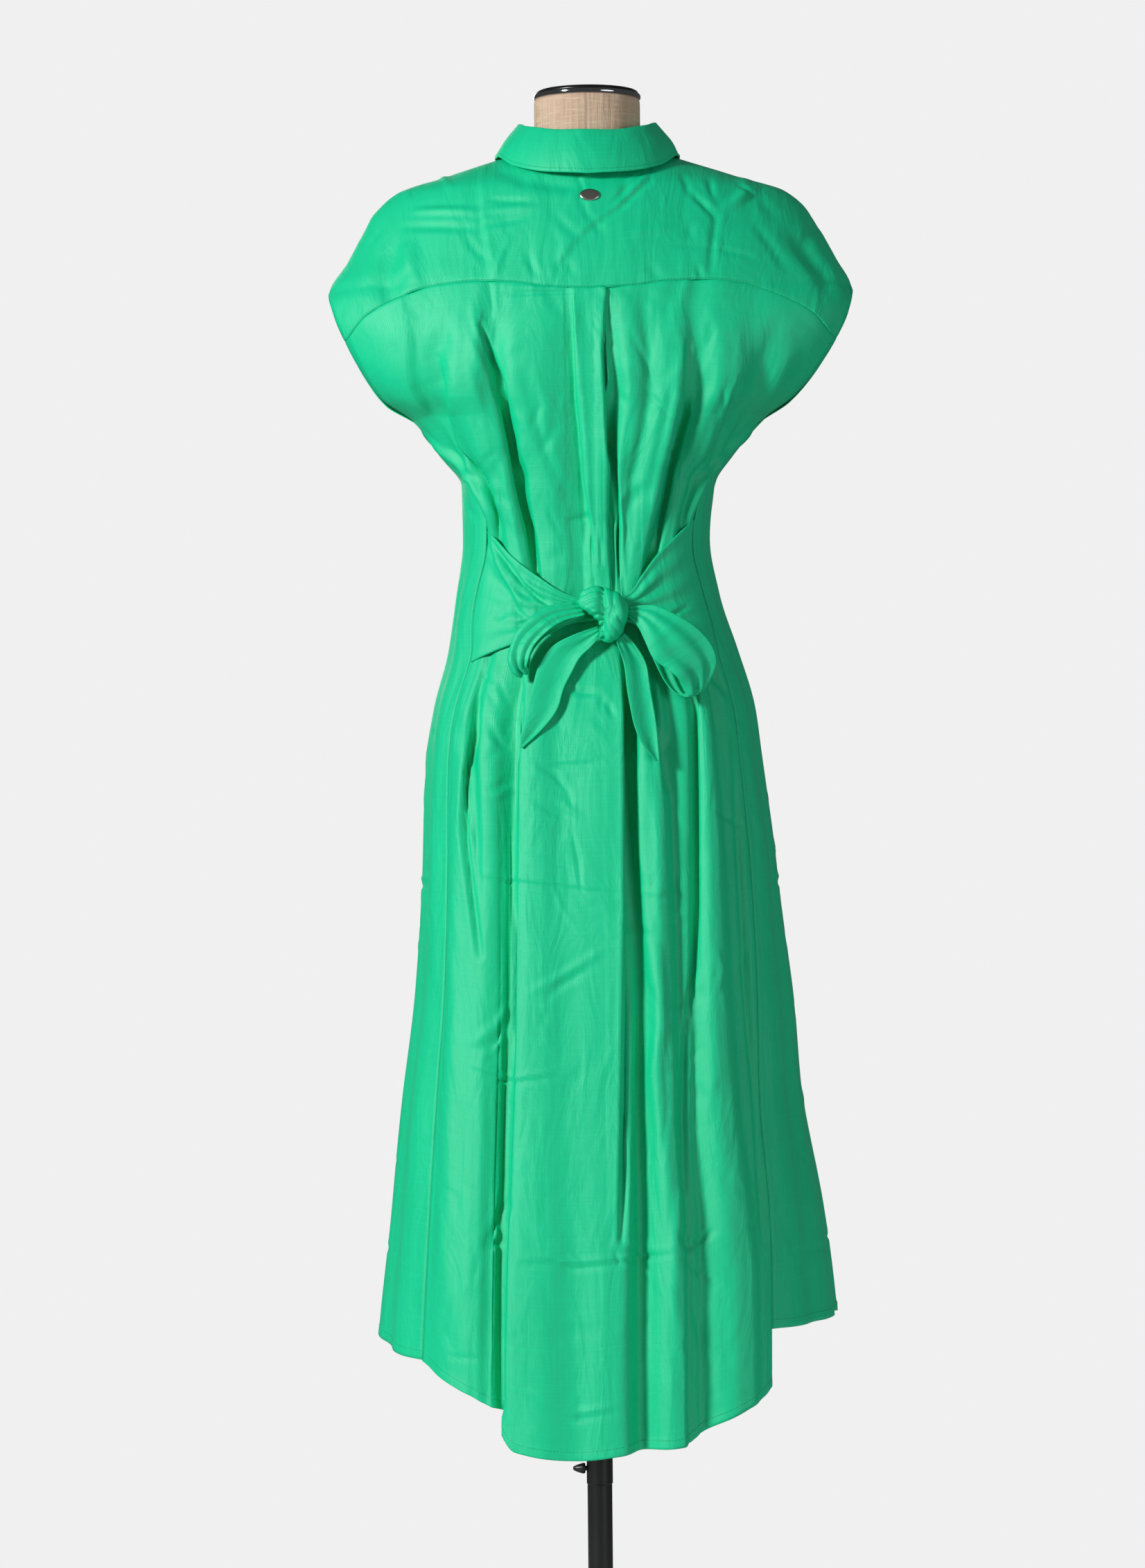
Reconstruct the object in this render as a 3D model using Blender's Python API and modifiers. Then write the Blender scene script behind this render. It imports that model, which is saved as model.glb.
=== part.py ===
"""Midi shirt dress on a limbless dress form with a pole stand, at real size.

Metres, +Z up.  The dress faces -Y, its back with the bow faces +Y, and +X is the wearer's left.
The origin is the centre of the base plate's underside.  Tables are in millimetres and degrees.
A share is a place across a panel: 1 at the wearer's left side seam, 0 in the middle, -1 at the
right one.  Proud is how far a fold stands out from the body's ring.
"""
import math

import bmesh
import bpy
import numpy as np

MM = 0.001

# cloth and seams
CLOTH = 1.2 * MM
HALF_SEAM = 0.35 * MM      # each panel stops this far short of a seam line
TOUCH = 0.3 * MM           # between pieces that touch

# heights of the dress
NAPE = 1643 * MM           # collar seam at the centre back
MOUTH_TIP = 1519 * MM      # sleeve mouth, top and bottom
MOUTH_LOW = 1388 * MM
MOUTH_HALF_DEPTH = 52 * MM
SEAM_AT_MOUTH = 1466 * MM  # where the back yoke seam meets the sleeve mouth
WAIST = 1195 * MM          # back waist seam, under the ties
HEM_CENTRE_FRONT = 432 * MM
HEM_SIDE = {1: 471 * MM, -1: 489 * MM}
HEM_DIP = {1: 11 * MM, -1: 0}   # how far the front's hem drops again to the side seam
HEM_HIGH = 0.72            # the share of a front at which its hem is highest

# neck and collar
NECK_HALF_WIDTH = 72 * MM
NECK_FRONT_DEPTH = 74 * MM
FRONT_SEAM_DEPTH = 28 * MM  # the yoke reaches this far over the shoulder to the front
NECK_SHARE = 0.3           # this share of a front's top edge is the neckline

# front edge
PLACKET_HALF = 15.5 * MM
PLACKET_PROUD = 2.2 * MM
BUTTON_RADIUS = 5.75 * MM
BUTTON_THICK = 2.4 * MM
BUTTONS = 10
BUTTON_TOP = 1566 * MM
BUTTON_STEP = 97 * MM

# stand
BASE_RADIUS = 170 * MM
BASE_THICK = 6 * MM
HUB_RADIUS = 30 * MM
HUB_TOP = 28 * MM
TUBE_RADIUS = 12.5 * MM
TUBE_BORE = 11.6 * MM
TUBE_TOP = 345 * MM
COLLAR_RADIUS = 13.2 * MM
COLLAR_LOW = 316 * MM
POLE_RADIUS = 11 * MM
POLE_LOW = 140 * MM
CLAMP_HEIGHT = 331 * MM
FORM_LOW = 940 * MM
FORM_NECK_TOP = 1712 * MM
FORM_NECK_RADIUS = 53.5 * MM

GREEN = (0.003, 0.46, 0.21)


def table(text):
    """Columns of a table by name; a column of words stays a list."""
    rows = [line.split() for line in text.strip().splitlines()]
    columns = {}
    for place, name in enumerate(rows[0]):
        cells = [row[place] for row in rows[1:]]
        words = any(cell[0].isalpha() for cell in cells)
        columns[name] = cells if words else np.array([float(cell) for cell in cells])
    return columns


# Rings of the dress without its folds: half width to the wearer's left and right, depth behind
# and before the middle, and how square the ring is: x = half sin^(2/square), y = depth cos^(2 round).
RINGS = table("""
height left right back front square round
1659    72   72   40   34   1.80  0.75
1650    99   99   54   44   1.80  0.75
1643   121  122   60   50   1.80  0.74
1633   153  154   67   56   1.80  0.72
1627   174  176   71   60   1.82  0.70
1619   194  198   76   65   1.85  0.68
1600   215  221   84   74   1.90  0.64
1576   229  236   94   85   2.00  0.60
1550   243  250  103   96   2.05  0.56
1519   262  265  111  109   2.10  0.52
1492   255  259  115  118   2.20  0.48
1464   243  246  118  126   2.30  0.45
1436   228  228  118  131   2.30  0.44
1408   207  203  115  131   2.30  0.435
1388   177  175  112  129   2.30  0.435
1352   150  144  106  122   2.30  0.435
1324   130  126  100  114   2.30  0.435
1268   129  120   92  100   2.30  0.435
1212   136  130   93  100   2.30  0.435
1156   145  148  105  111   2.30  0.435
1100   160  163  121  122   2.30  0.435
1044   168  170  136  131   2.30  0.435
932    172  185  152  143   2.30  0.435
820    180  198  167  155   2.25  0.44
708    194  207  182  167   2.20  0.45
596    206  226  198  179   2.20  0.45
465    220  240  213  191   2.15  0.46
350    227  248  222  197   2.15  0.46
""")

# Side seams: degrees round from the centre back, where the ties have pulled them backwards.
SIDE_SEAMS = table("""
height left right
1388   90   90
1360   78   80
1320   60   64
1282   51.5 56.5
1250   52   55
1220   55   56.5
1192   57   57.5
1150   53.5 55
1080   57   57
800    54   51
420    50   42
""")

# Back yoke seam: height over the distance from the centre back, alike on both sides.
YOKE_SEAM = table("""
x    height
0    1510
40   1512
75   1517
115  1519
155  1516
190  1505
222  1489
243  1466
""")

# Folds of the back bodice from left to right, at the yoke, under the arm and above the waist.
BODICE_FOLDS = table("""
fold         yoke   arm    waist   proud_yoke proud_arm proud_waist
sleeve_crest  0.820  0.930  0.950   3     3     0
sleeve_foot   0.724  0.840  0.880  -4    -4     0
left_crest    0.483  0.582  0.567   4     7     4
left_foot     0.401  0.456  0.442  -5    -8    -4
blade_crest   0.261  0.348  0.318   3     3     2
blade_foot    0.089  0.077  0.080  -2    -3    -2
pleat_left    0.058  0.012 -0.020   3     3     2
pleat_right  -0.059 -0.105 -0.150   4     5     3
pleat_shadow -0.075 -0.130 -0.185  -4    -5    -3
inner_crest  -0.148 -0.250 -0.240   3     3     2
inner_foot   -0.223 -0.327 -0.280  -1     1     1
right_crest  -0.342 -0.451 -0.350   4     7     3
right_foot   -0.431 -0.601 -0.470  -5    -7    -4
outer_crest  -0.556 -0.720 -0.640   3     4     3
outer_foot   -0.700 -0.850 -0.850  -3    -3     0
""")
BODICE_KEYS = (1487, 1371, 1222)

# Pleats of the back skirt from left to right, at the hip, the knee and the hem.
SKIRT_FOLDS = table("""
fold         hip    knee    hem    proud_hip proud_knee proud_hem hem_height
left_crest    0.905  0.830  0.757   6     7    10   437
left_foot     0.840  0.745  0.680  -5     5     8   430
second_crest  0.745  0.670  0.617   5     5     4   423
panel_shadow  0.541  0.527  0.545  -5    -9    -9   416
panel_edge    0.518  0.503  0.522   7     9    11   396
panel_crest   0.430  0.421  0.442   9    10    13   380
panel_middle  0.238  0.190  0.131   4     6     4   372
panel_right  -0.178 -0.180 -0.090   9     9     9   376
deep_foot    -0.274 -0.264 -0.247 -10   -12   -12   380
third_crest  -0.407 -0.411 -0.453   7     6     9   383
third_foot   -0.530 -0.520 -0.512  -5    -4    -3   386
fourth_crest -0.635 -0.562 -0.545   1    -3    -5   389
fourth_foot  -0.706 -0.608 -0.590  -7    -8    -8   394
last_crest   -0.773 -0.726 -0.838   5     8     8   416
last_foot    -0.850 -0.850 -0.930  -3     0     2   424
""")
SKIRT_KEYS = (1080, 807, 452)
BACK_HEM_ENDS = {1: 459 * MM, -1: 434 * MM}
TAIL_DROP = {1: 6 * MM, 0: 30 * MM, -1: 61 * MM}   # the last row: how far the back hangs lower

# Folds of each front from the front edge, 0, round to the side seam, 1.
FRONT_FOLDS = table("""
fold    place  bust waist  hip  hem
edge    0.060   0    0     0    0
first   0.130   0   -1    -2   -5
second  0.220   2    3     3    8
third   0.310   0   -3    -3   -7
fourth  0.400   3    3     4    9
fifth   0.490   0   -2    -3   -7
sixth   0.580   0    2     3    6
seventh 0.660  -2   -2    -2   -4
side    0.740   0    0     1    2
hollow  0.840   0   -1    -2   -3
last    0.930   0    0     2    3
""")
FRONT_KEYS = (1400, 1230, 950, 440)
FOLD_START = 0.35          # the folds die out over this share of the way below the top edge
FRONT_SHIFT = {1: 0.0, -1: 0.018}   # the right front's folds lie a little further round

# The ties from the side seam to the knot: the shares and heights of their edges behind the
# waist, how far they lie off the body and how deep their pleats are.
TIE_LEFT = table("""
along upper upper_z lower lower_z lift wave
0.00   0.975  1275   0.975  1144   2.8  0.0
0.12   0.860  1264   0.885  1149   4.8  0.6
0.35   0.700  1247   0.724  1157   6.5  1.5
0.65   0.450  1227   0.467  1168   8.0  1.9
0.88   0.150  1207   0.120  1181   9.0  1.7
1.00  -0.100  1202  -0.110  1184   8.0  1.2
""")
TIE_RIGHT = table("""
along upper upper_z lower lower_z lift wave
0.00   0.975  1285   0.975  1159   2.8  0.0
0.12   0.830  1270   0.870  1161   4.2  0.6
0.35   0.620  1250   0.730  1164   6.5  1.5
0.65   0.440  1228   0.520  1171   8.0  1.9
0.88   0.300  1209   0.310  1180   9.0  1.7
1.00   0.130  1203   0.130  1185   8.0  1.2
""")
TIE_PLEATS = 4.5

# The knot's outline about its middle, from straight up round to the wearer's left.
KNOT = np.array((-19, 121, 1187.6)) * MM
KNOT_DEPTH = 15 * MM
KNOT_CREASE = 9 * MM       # the wrap meets the twisted part this far left of the middle
CREASE_WIDTH = 4 * MM
CREASE_DEPTH = 0.3         # share of the knot's depth
KNOT_OUTLINE = table("""
angle radius
-13   23.2
9     26.4
17    29.0
34    33.5
53    36.5
68    36.0
85    22.0
110   14.5
135   14.7
150   24.1
169   27.4
186   25.3
211   20.2
244   15.5
290   17.6
347   23.2
369   26.4
""")

# The bow's loops, from the knot out along the outer layer, round the end and back beneath it: the
# places of the ribbon's outer and inner edges and how far each lies off the body.
LOOP_LEFT = table("""
outer outer_z inner inner_z outer_off inner_off
 12.2  1201.5   6.5  1188    21   21
 34    1198    25    1182    27   27
 53    1185    38    1172    32   31
 66    1166    49    1159    34   31
 71    1145    55    1147    33   28
 69    1131    58    1138    27   24
 67    1128    57    1135    20   18
 67    1141    57    1146    14.5 13.5
 60    1161    47    1164    14.5 13.5
 38    1183    28    1177    15.5 14.5
 11.8  1197     7.0  1187    17   16.5
""")
LOOP_RIGHT = table("""
outer  outer_z inner inner_z outer_off inner_off
 -33    1195   -32    1186    21   21
 -50    1197   -39    1177    27   26
 -72    1186   -45    1161    33   30
 -90    1171   -52    1144    35   31
-101    1154   -64    1134    33   30
-105    1138   -77    1121    28   27
-102    1119   -85    1107    21   21
 -94    1108   -76    1110    15.5 15.5
 -88    1121   -67    1121    13   13
 -79    1151   -57    1142    13   13
 -59    1178   -46    1169    13.5 13.5
 -37    1191   -34    1184    16.5 16.5
""")
LOOP_SWELL = 2.5 * MM      # the ribbon arches this far between its edges

# The hanging ends of the ties: the left and right edges from the knot down to the tip.
TAIL_LEFT = table("""
left left_z right right_z
-5.0  1176.8  -6.7 1168.0
 16   1169     2   1157
 36   1158    12   1146
 49   1140    19   1133
 55   1118    27   1117
 60   1096    33   1097
 65   1075    47   1077
 68   1058.5  66   1058
""")
TAIL_RIGHT = table("""
left  left_z right right_z
-21    1162.2 -28.8 1170
-25    1151   -39  1158
-29    1135.5 -50  1137
-31    1115   -53  1115
-34    1096   -56  1096
-37    1080   -58.5 1077
-44    1061   -59.5 1061
-56.5  1044   -60  1044
""")
TAIL_OFF = (18 * MM, 13.5 * MM)   # off the body at the knot and at the tip
TAIL_FOLD = 2.6 * MM       # height of the soft fold along it

# The dress form: rings like the dress's, under it everywhere.
FORM = table("""
height half back front square round
1664   54.5 53.5 54.0 2.00  0.52
1656   60.0 52.0 54.0 2.00  0.60
1649   77.0 52.0 53.0 1.95  0.90
1641  110.0 56.0 50.5 1.90  1.00
1628  156.0 66.0 51.0 1.82  0.82
1613  179.0 74.0 61.0 1.90  0.64
1590  186.0 80.0 72.0 2.00  0.56
1560  189.0 89.0 84.0 2.10  0.50
1500  181.0  98.0 102.0 2.20  0.46
1450  168.0 101.0 113.0 2.30  0.44
1400  149.0  98.0 114.0 2.30  0.44
1350  127.0  89.0 105.0 2.30  0.44
1300  112.0  80.0  93.0 2.30  0.44
1250  106.0  75.0  85.0 2.30  0.44
1200  112.0  79.0  88.0 2.30  0.44
1150  125.0  88.0  95.0 2.30  0.44
1100  139.0  98.0 102.0 2.30  0.44
1050  147.0 108.0 108.0 2.30  0.44
1000  150.0 114.0 112.0 2.30  0.44
940   148.0 115.0 112.0 2.30  0.44
""")

# How fine the solids are.
CELL = 15 * MM
FRONT_UPPER_ROWS = 5
WAIST_ROWS = 8
SKIRT_ROWS = 15


# ---------------------------------------------------------------- curves and rings

def smooth(at, keys, values):
    """Monotone cubic curve through the points, held level past both ends."""
    keys, values = np.asarray(keys, float), np.asarray(values, float)
    if keys[0] > keys[-1]:
        keys, values = keys[::-1], values[::-1]
    step = np.diff(keys)
    rise = np.diff(values) / step
    product = rise[:-1] * rise[1:]
    total = np.where(product > 0, rise[:-1] + rise[1:], 1)
    inner = np.where(product > 0, 2 * product / total, 0)
    slope = np.concatenate((rise[:1], inner, rise[-1:]))
    at = np.clip(at, keys[0], keys[-1])
    k = np.clip(np.searchsorted(keys, at) - 1, 0, len(step) - 1)
    t = (at - keys[k]) / step[k]
    start = values[k] + step[k] * slope[k] * t * (1 - t) ** 2
    end = step[k] * slope[k + 1] * t * t * (t - 1)
    return start + end + (values[k + 1] - values[k]) * t * t * (3 - 2 * t)


def ease(t):
    """0 to 1 with a level start and end."""
    t = np.clip(t, 0, 1)
    return t * t * (3 - 2 * t)


def power(value, exponent):
    """A power that keeps the sign."""
    return np.sign(value) * np.abs(value) ** exponent


def read(rings, name, z):
    """A column of a table of rings at height z."""
    return smooth(z / MM, rings["height"], rings[name])


def edge_width(z, left):
    """Half width of the outline, which is the sleeve's edge where the sleeve is open."""
    return np.where(left, read(RINGS, "left", z), read(RINGS, "right", z)) * MM


def mouth_depth(z):
    """Half depth of the sleeve's opening at height z."""
    across = 2 * (z - MOUTH_LOW) / (MOUTH_TIP - MOUTH_LOW) - 1
    return MOUTH_HALF_DEPTH * np.sqrt(np.clip(1 - np.abs(across) ** 2.4, 0, 1))


def ring(z, left, back):
    """Half width, depth and exponents of the ring; it runs on past the sleeve's opening."""
    depth = np.where(back, read(RINGS, "back", z), read(RINGS, "front", z)) * MM
    square, roundness = read(RINGS, "square", z), read(RINGS, "round", z)
    left_out = 1 - (mouth_depth(z) / depth) ** (1 / roundness)
    return edge_width(z, left) / left_out ** (1 / square), depth, square, roundness


def lift(x, y, z, half, depth, proud):
    """Points moved out from the ring by proud."""
    out = np.stack((x / half ** 2, y / depth ** 2), axis=-1)
    out = out / np.maximum(np.linalg.norm(out, axis=-1, keepdims=True), 1e-9)
    return np.stack((x + out[..., 0] * proud, y + out[..., 1] * proud, z), axis=-1)


def on_body(x, z, back, proud=0.0):
    """Points of the body's surface at x and z, behind or before the middle."""
    x, z = np.broadcast_arrays(np.asarray(x, float), np.asarray(z, float))
    half, depth, square, roundness = ring(z, x > 0, back)
    share = np.clip(np.abs(x) / half, 0, 1)
    y = (1 if back else -1) * depth * (1 - share ** square) ** roundness
    return lift(x, y, z, half, depth, proud)


def around_body(angle, z, proud=0.0):
    """Points of the body's surface at an angle from the centre back, to the left if positive."""
    angle, z = np.broadcast_arrays(np.asarray(angle, float), np.asarray(z, float))
    half, depth, square, roundness = ring(z, np.sin(angle) > 0, np.cos(angle) > 0)
    x = half * power(np.sin(angle), 2 / square)
    y = depth * power(np.cos(angle), 2 * roundness)
    return lift(x, y, z, half, depth, proud)


def ridge_height(x):
    """Height of the shoulder line over x."""
    heights = np.linspace(MOUTH_TIP, RINGS["height"][0] * MM, 300)
    found = [np.interp(np.abs(x), edge_width(heights, side)[::-1], heights[::-1])
             for side in (False, True)]
    return np.where(np.asarray(x) > 0, found[1], found[0])


def height_at(x, y, back=False):
    """Height at which the front surface over x has come forward to y, or the back one back."""
    x, y = np.broadcast_arrays(np.asarray(x, float), np.asarray(y, float))
    heights = np.linspace(RINGS["height"][0], 1450, 420) * MM
    found = []
    for one_x, one_y in zip(x.ravel(), y.ravel()):
        depths = np.abs(on_body(np.full_like(heights, one_x), heights, back)[:, 1])
        depths[np.abs(one_x) >= ring(heights, one_x > 0, back)[0]] = 0
        found.append(np.interp(abs(one_y), np.maximum.accumulate(depths), heights))
    return np.array(found).reshape(x.shape)


def seam_angle(z, side):
    """Angle of the side seam at height z, for the left, 1, or right, -1."""
    name = "left" if side > 0 else "right"
    return np.radians(smooth(z / MM, SIDE_SEAMS["height"], SIDE_SEAMS[name]))


def back_end(z, side):
    """x at which the back ends at height z: the sleeve's edge, and the side seam below it."""
    seam = around_body(seam_angle(z, side) * side, z)[..., 0]
    return np.where(z >= MOUTH_LOW, edge_width(z, side > 0) * side, seam)


def neckline(angle):
    """Collar seam at an angle from the centre back."""
    angle = np.asarray(angle, float)
    x = NECK_HALF_WIDTH * np.sin(angle)
    rise = ridge_height(NECK_HALF_WIDTH) - NAPE
    behind = on_body(x, NAPE + rise * np.sin(angle) ** 2, True)
    y = np.minimum(NECK_FRONT_DEPTH * np.cos(angle), 0)
    before = np.stack((x, y, height_at(x, y)), axis=-1)
    return np.where((np.cos(angle) > 0)[..., None], behind, before)


# ---------------------------------------------------------------- folded grids

def columns_between(places, width, cell):
    """Column places as an index and a part of the way between two folds."""
    steps = np.maximum(1, np.round(np.abs(np.diff(places)) * width / cell)).astype(int)
    index = np.concatenate([np.full(n, k) for k, n in enumerate(steps)] + [[len(steps) - 1]])
    part = np.concatenate([np.arange(n) / n for n in steps] + [[1.0]])
    return index, part


def fold_rows(folds, names, keys, heights, first, last, width, cell):
    """Share and proud of each column in each row, between the folds of a table.

    names are the table's columns of shares and of prouds at the heights in keys."""
    share_names, proud_names = names
    shares = np.stack([np.full_like(heights, first)]
                      + [smooth(heights / MM, keys, row) for row in
                         zip(*(folds[name] for name in share_names))]
                      + [np.full_like(heights, last)], axis=-1)
    prouds = np.stack([np.zeros_like(heights)]
                      + [smooth(heights / MM, keys, row) for row in
                         zip(*(folds[name] for name in proud_names))]
                      + [np.zeros_like(heights)], axis=-1) * MM
    index, part = columns_between(shares[len(heights) // 2], width, cell)
    bend = (1 - np.cos(np.pi * part)) / 2
    share = shares[:, index] * (1 - part) + shares[:, index + 1] * part
    proud = prouds[:, index] * (1 - bend) + prouds[:, index + 1] * bend
    return share, proud


def bodice_grid(upper_rows, lower_rows, cell):
    """Back bodice from the yoke seam to the waist; a row lies under the sleeve's opening."""
    end = seam_heights(SEAM_AT_MOUTH - HALF_SEAM, upper_rows, lower_rows)[:, None]
    centre = YOKE_SEAM["height"][0] * MM - HALF_SEAM
    droop = 1 - ease((SEAM_AT_MOUTH - end) / (SEAM_AT_MOUTH - MOUTH_LOW))
    middle = end + (centre - SEAM_AT_MOUTH + HALF_SEAM) * droop
    names = (("yoke", "arm", "waist"), ("proud_yoke", "proud_arm", "proud_waist"))
    share, proud = fold_rows(BODICE_FOLDS, names, BODICE_KEYS, middle[:, 0], 1, -1,
                                235 * MM, cell)
    x = back_x(share, end)
    seam_x = np.abs(back_x(share, end[:1])) / MM
    seam = smooth(seam_x, YOKE_SEAM["x"], YOKE_SEAM["height"]) * MM - HALF_SEAM
    z = middle - (centre - seam) * droop
    pressed = ease((centre - middle) / (30 * MM) + 0.3) - 0.7 * ease((1240 * MM - z) / (40 * MM))
    return on_body(x, z, True, proud * pressed)


def seam_heights(top, upper_rows, lower_rows):
    """Heights down the back's edge: along the sleeve's opening, then along the side seam."""
    upper = np.linspace(top, MOUTH_LOW, upper_rows + 1)[:-1]
    return np.concatenate((upper, np.linspace(MOUTH_LOW, WAIST + HALF_SEAM, lower_rows + 1)))


def back_x(share, z):
    """x of a share of the back's width, whose edges stop short of the seam line."""
    ends = np.where(share > 0, back_end(z, 1), -back_end(z, -1))
    return share * ends - np.sign(share) * np.abs(share) ** 20 * HALF_SEAM


def skirt_grid(rows, cell):
    """Back skirt from the waist to the hem; its last row is the tail below the front's hem."""
    v = np.linspace(0, 1, rows + 1)[:, None]
    middle = WAIST + (SKIRT_FOLDS["hem_height"].min() * MM - WAIST) * v
    middle = np.concatenate((middle, middle[-1:]))
    names = (("hip", "knee", "hem"), ("proud_hip", "proud_knee", "proud_hem"))
    share, proud = fold_rows(SKIRT_FOLDS, names, SKIRT_KEYS, middle[:, 0], 1, -1,
                                            150 * MM, cell)
    places = np.concatenate(([1], SKIRT_FOLDS["hem"], [-1]))
    hems = np.concatenate(([BACK_HEM_ENDS[1]], SKIRT_FOLDS["hem_height"] * MM,
                           [BACK_HEM_ENDS[-1]]))
    hem = smooth(share[-1], places, hems)
    side_drop = np.where(share[-1] > 0, TAIL_DROP[1], TAIL_DROP[-1])
    drop = TAIL_DROP[0] + (side_drop - TAIL_DROP[0]) * share[-1] ** 2
    top = WAIST - HALF_SEAM
    z = np.concatenate((top + (hem + drop - top) * v, hem[None, :]))
    pressed = 0.15 + 0.85 * ease((WAIST - 15 * MM - z) / (120 * MM))
    return on_body(back_x(share, z), z, True, proud * pressed)


def front_grid(side, upper_rows, waist_rows, skirt_rows, cell):
    """One front from its front edge to the side seam and the sleeve's edge."""
    first_x = -PLACKET_HALF + TOUCH if side > 0 else PLACKET_HALF + TOUCH
    knots = np.concatenate(([0], FRONT_FOLDS["place"] + FRONT_SHIFT[side], [1]))
    index, part = columns_between(knots, 330 * MM, cell)
    c = knots[index] * (1 - part) + knots[index + 1] * part
    top_x, top_y = front_top_edge(first_x, c, side)
    top_z = height_at(top_x * side, top_y) - HALF_SEAM
    # upper rows: from the top edge to the ring under the arm
    first, half, square = front_start(first_x, MOUTH_LOW, side)
    angle = np.pi - first - (np.pi / 2 - first) * c
    low_x = half * power(np.sin(angle), 2 / square)
    v = np.linspace(0, 1, upper_rows + 1)[:-1, None]
    x = top_x + (low_x - top_x) * v
    z = top_z + (MOUTH_LOW - top_z) * v
    x *= 1 + (edge_width(z[:, -1:], side > 0) / x[:, -1:] - 1) * c ** 2
    proud = fold_proud(z, c, index, part) * ease(v / FOLD_START)
    upper = on_body(x * side, z, False, proud)
    # lower rows: round the body to the side seam
    hem = HEM_CENTRE_FRONT + (HEM_SIDE[side] - HEM_CENTRE_FRONT) * ease(c / HEM_HIGH)
    hem -= HEM_DIP[side] * ease((c - HEM_HIGH) / (1 - HEM_HIGH))
    bodice = np.linspace(MOUTH_LOW, WAIST + HALF_SEAM, waist_rows + 1)[:, None] + 0 * c
    top = WAIST - HALF_SEAM
    skirt = top + (hem - top) * np.linspace(0, 1, skirt_rows + 1)[:, None]
    z = np.concatenate((bodice[:-1], bodice[-1:] / 2 + skirt[:1] / 2, skirt[1:]))
    first, half, _ = front_start(first_x, z, side)
    last = seam_angle(z, side) + HALF_SEAM / half
    angle = np.pi - first - (np.pi - first - last) * c
    lower = around_body(angle * side, z, fold_proud(z, c, index, part))
    return np.concatenate((upper, lower))


def front_start(first_x, z, side):
    """Angle from the centre front to the front edge, with the ring's half width and squareness."""
    half, _, square, _ = ring(z, side > 0, False)
    edge_half = ring(z, first_x * side > 0, False)[0]
    return np.arcsin(power(first_x / edge_half, square / 2)), half, square


def front_top_edge(first_x, c, side):
    """x and y along the neckline, then along the yoke's front seam to the sleeve."""
    turn = NECK_SHARE
    mouth = np.linspace(MOUTH_TIP, SEAM_AT_MOUTH, 200)
    seam_end = np.interp(FRONT_SEAM_DEPTH, mouth_depth(mouth), mouth)
    neck_end = math.acos(-FRONT_SEAM_DEPTH / NECK_FRONT_DEPTH)
    neck_start = math.pi - math.asin(first_x / NECK_HALF_WIDTH)
    neck_angle = neck_start + (neck_end - neck_start) * np.clip(c / turn, 0, 1)
    neck_x = NECK_HALF_WIDTH * math.sin(neck_end)
    seam_x = neck_x + (edge_width(seam_end, side > 0) - neck_x) * (c - turn) / (1 - turn)
    x = np.where(c < turn, NECK_HALF_WIDTH * np.sin(neck_angle), seam_x)
    return x, np.where(c < turn, NECK_FRONT_DEPTH * np.cos(neck_angle), -FRONT_SEAM_DEPTH)


def fold_proud(z, c, index, part):
    """How far the front's folds stand out at heights z."""
    names = ("bust", "waist", "hip", "hem")
    levels = [smooth(z / MM, FRONT_KEYS, row) for row in zip(*(FRONT_FOLDS[n] for n in names))]
    prouds = np.stack([np.zeros_like(levels[0])] + levels + [np.zeros_like(levels[0])]) * MM
    bend = (1 - np.cos(np.pi * part)) / 2
    column = np.arange(len(c))
    if prouds.shape[2] == 1:
        column = np.zeros(len(c), int)
    start = prouds[index, :, column].T
    end = prouds[index + 1, :, column].T
    return start * (1 - bend) + end * bend


def yoke_grid(rows, strip_rows, cell):
    """Back yoke: up from its seam to the neckline or the shoulder line, and over to the front.

    The last rows hold only the columns past the neck, so the others are marked nan."""
    turn = NECK_HALF_WIDTH / edge_width(MOUTH_TIP, True)
    inner = np.linspace(0, turn, max(2, round(NECK_HALF_WIDTH / cell)) + 1)
    outer = np.linspace(turn, 1, max(3, round(190 * MM / cell)) + 1)[1:]
    c = np.concatenate((inner, outer))
    c = np.concatenate((c[::-1], -c[1:]))
    rise = np.sin(np.linspace(0, np.pi / 2, rows + 1))[:, None]
    end = SEAM_AT_MOUTH + (MOUTH_TIP - SEAM_AT_MOUTH) * rise
    x = c * np.where(c > 0, edge_width(end, True), edge_width(end, False))
    base = smooth(np.abs(x[0]) / MM, YOKE_SEAM["x"], YOKE_SEAM["height"]) * MM + HALF_SEAM
    top_x = x[-1]
    top = ridge_height(top_x)
    neck = NAPE + (ridge_height(NECK_HALF_WIDTH) - NAPE) * (top_x / NECK_HALF_WIDTH) ** 2
    top = np.where(np.abs(c) < turn - 1e-6, neck, top)
    back = on_body(x, base + (top - base) * rise, True)
    side = np.abs(c) >= turn - 1e-6
    strip = []
    for depth in np.linspace(0, FRONT_SEAM_DEPTH, strip_rows + 1)[1:]:
        heights = np.linspace(MOUTH_TIP, SEAM_AT_MOUTH, 200)
        end_z = np.interp(depth, mouth_depth(heights), heights)
        neck_x = NECK_HALF_WIDTH * math.sqrt(1 - (depth / NECK_FRONT_DEPTH) ** 2)
        ends = np.where(c > 0, edge_width(end_z, True), edge_width(end_z, False))
        x = np.sign(c) * (neck_x + (ends - neck_x) * (np.abs(c) - turn) / (1 - turn))
        row = np.full((len(c), 3), np.nan)
        z = height_at(x[side], -depth) + (HALF_SEAM if depth == FRONT_SEAM_DEPTH else 0)
        row[side] = np.stack((x[side], np.full(side.sum(), -depth), z), axis=-1)
        strip.append(row)
    grid = np.concatenate((back, np.array(strip)))
    return grid[::-1]


# ---------------------------------------------------------------- making objects

def clear_scene():
    for item in list(bpy.data.objects):
        bpy.data.objects.remove(item, do_unlink=True)


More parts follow.
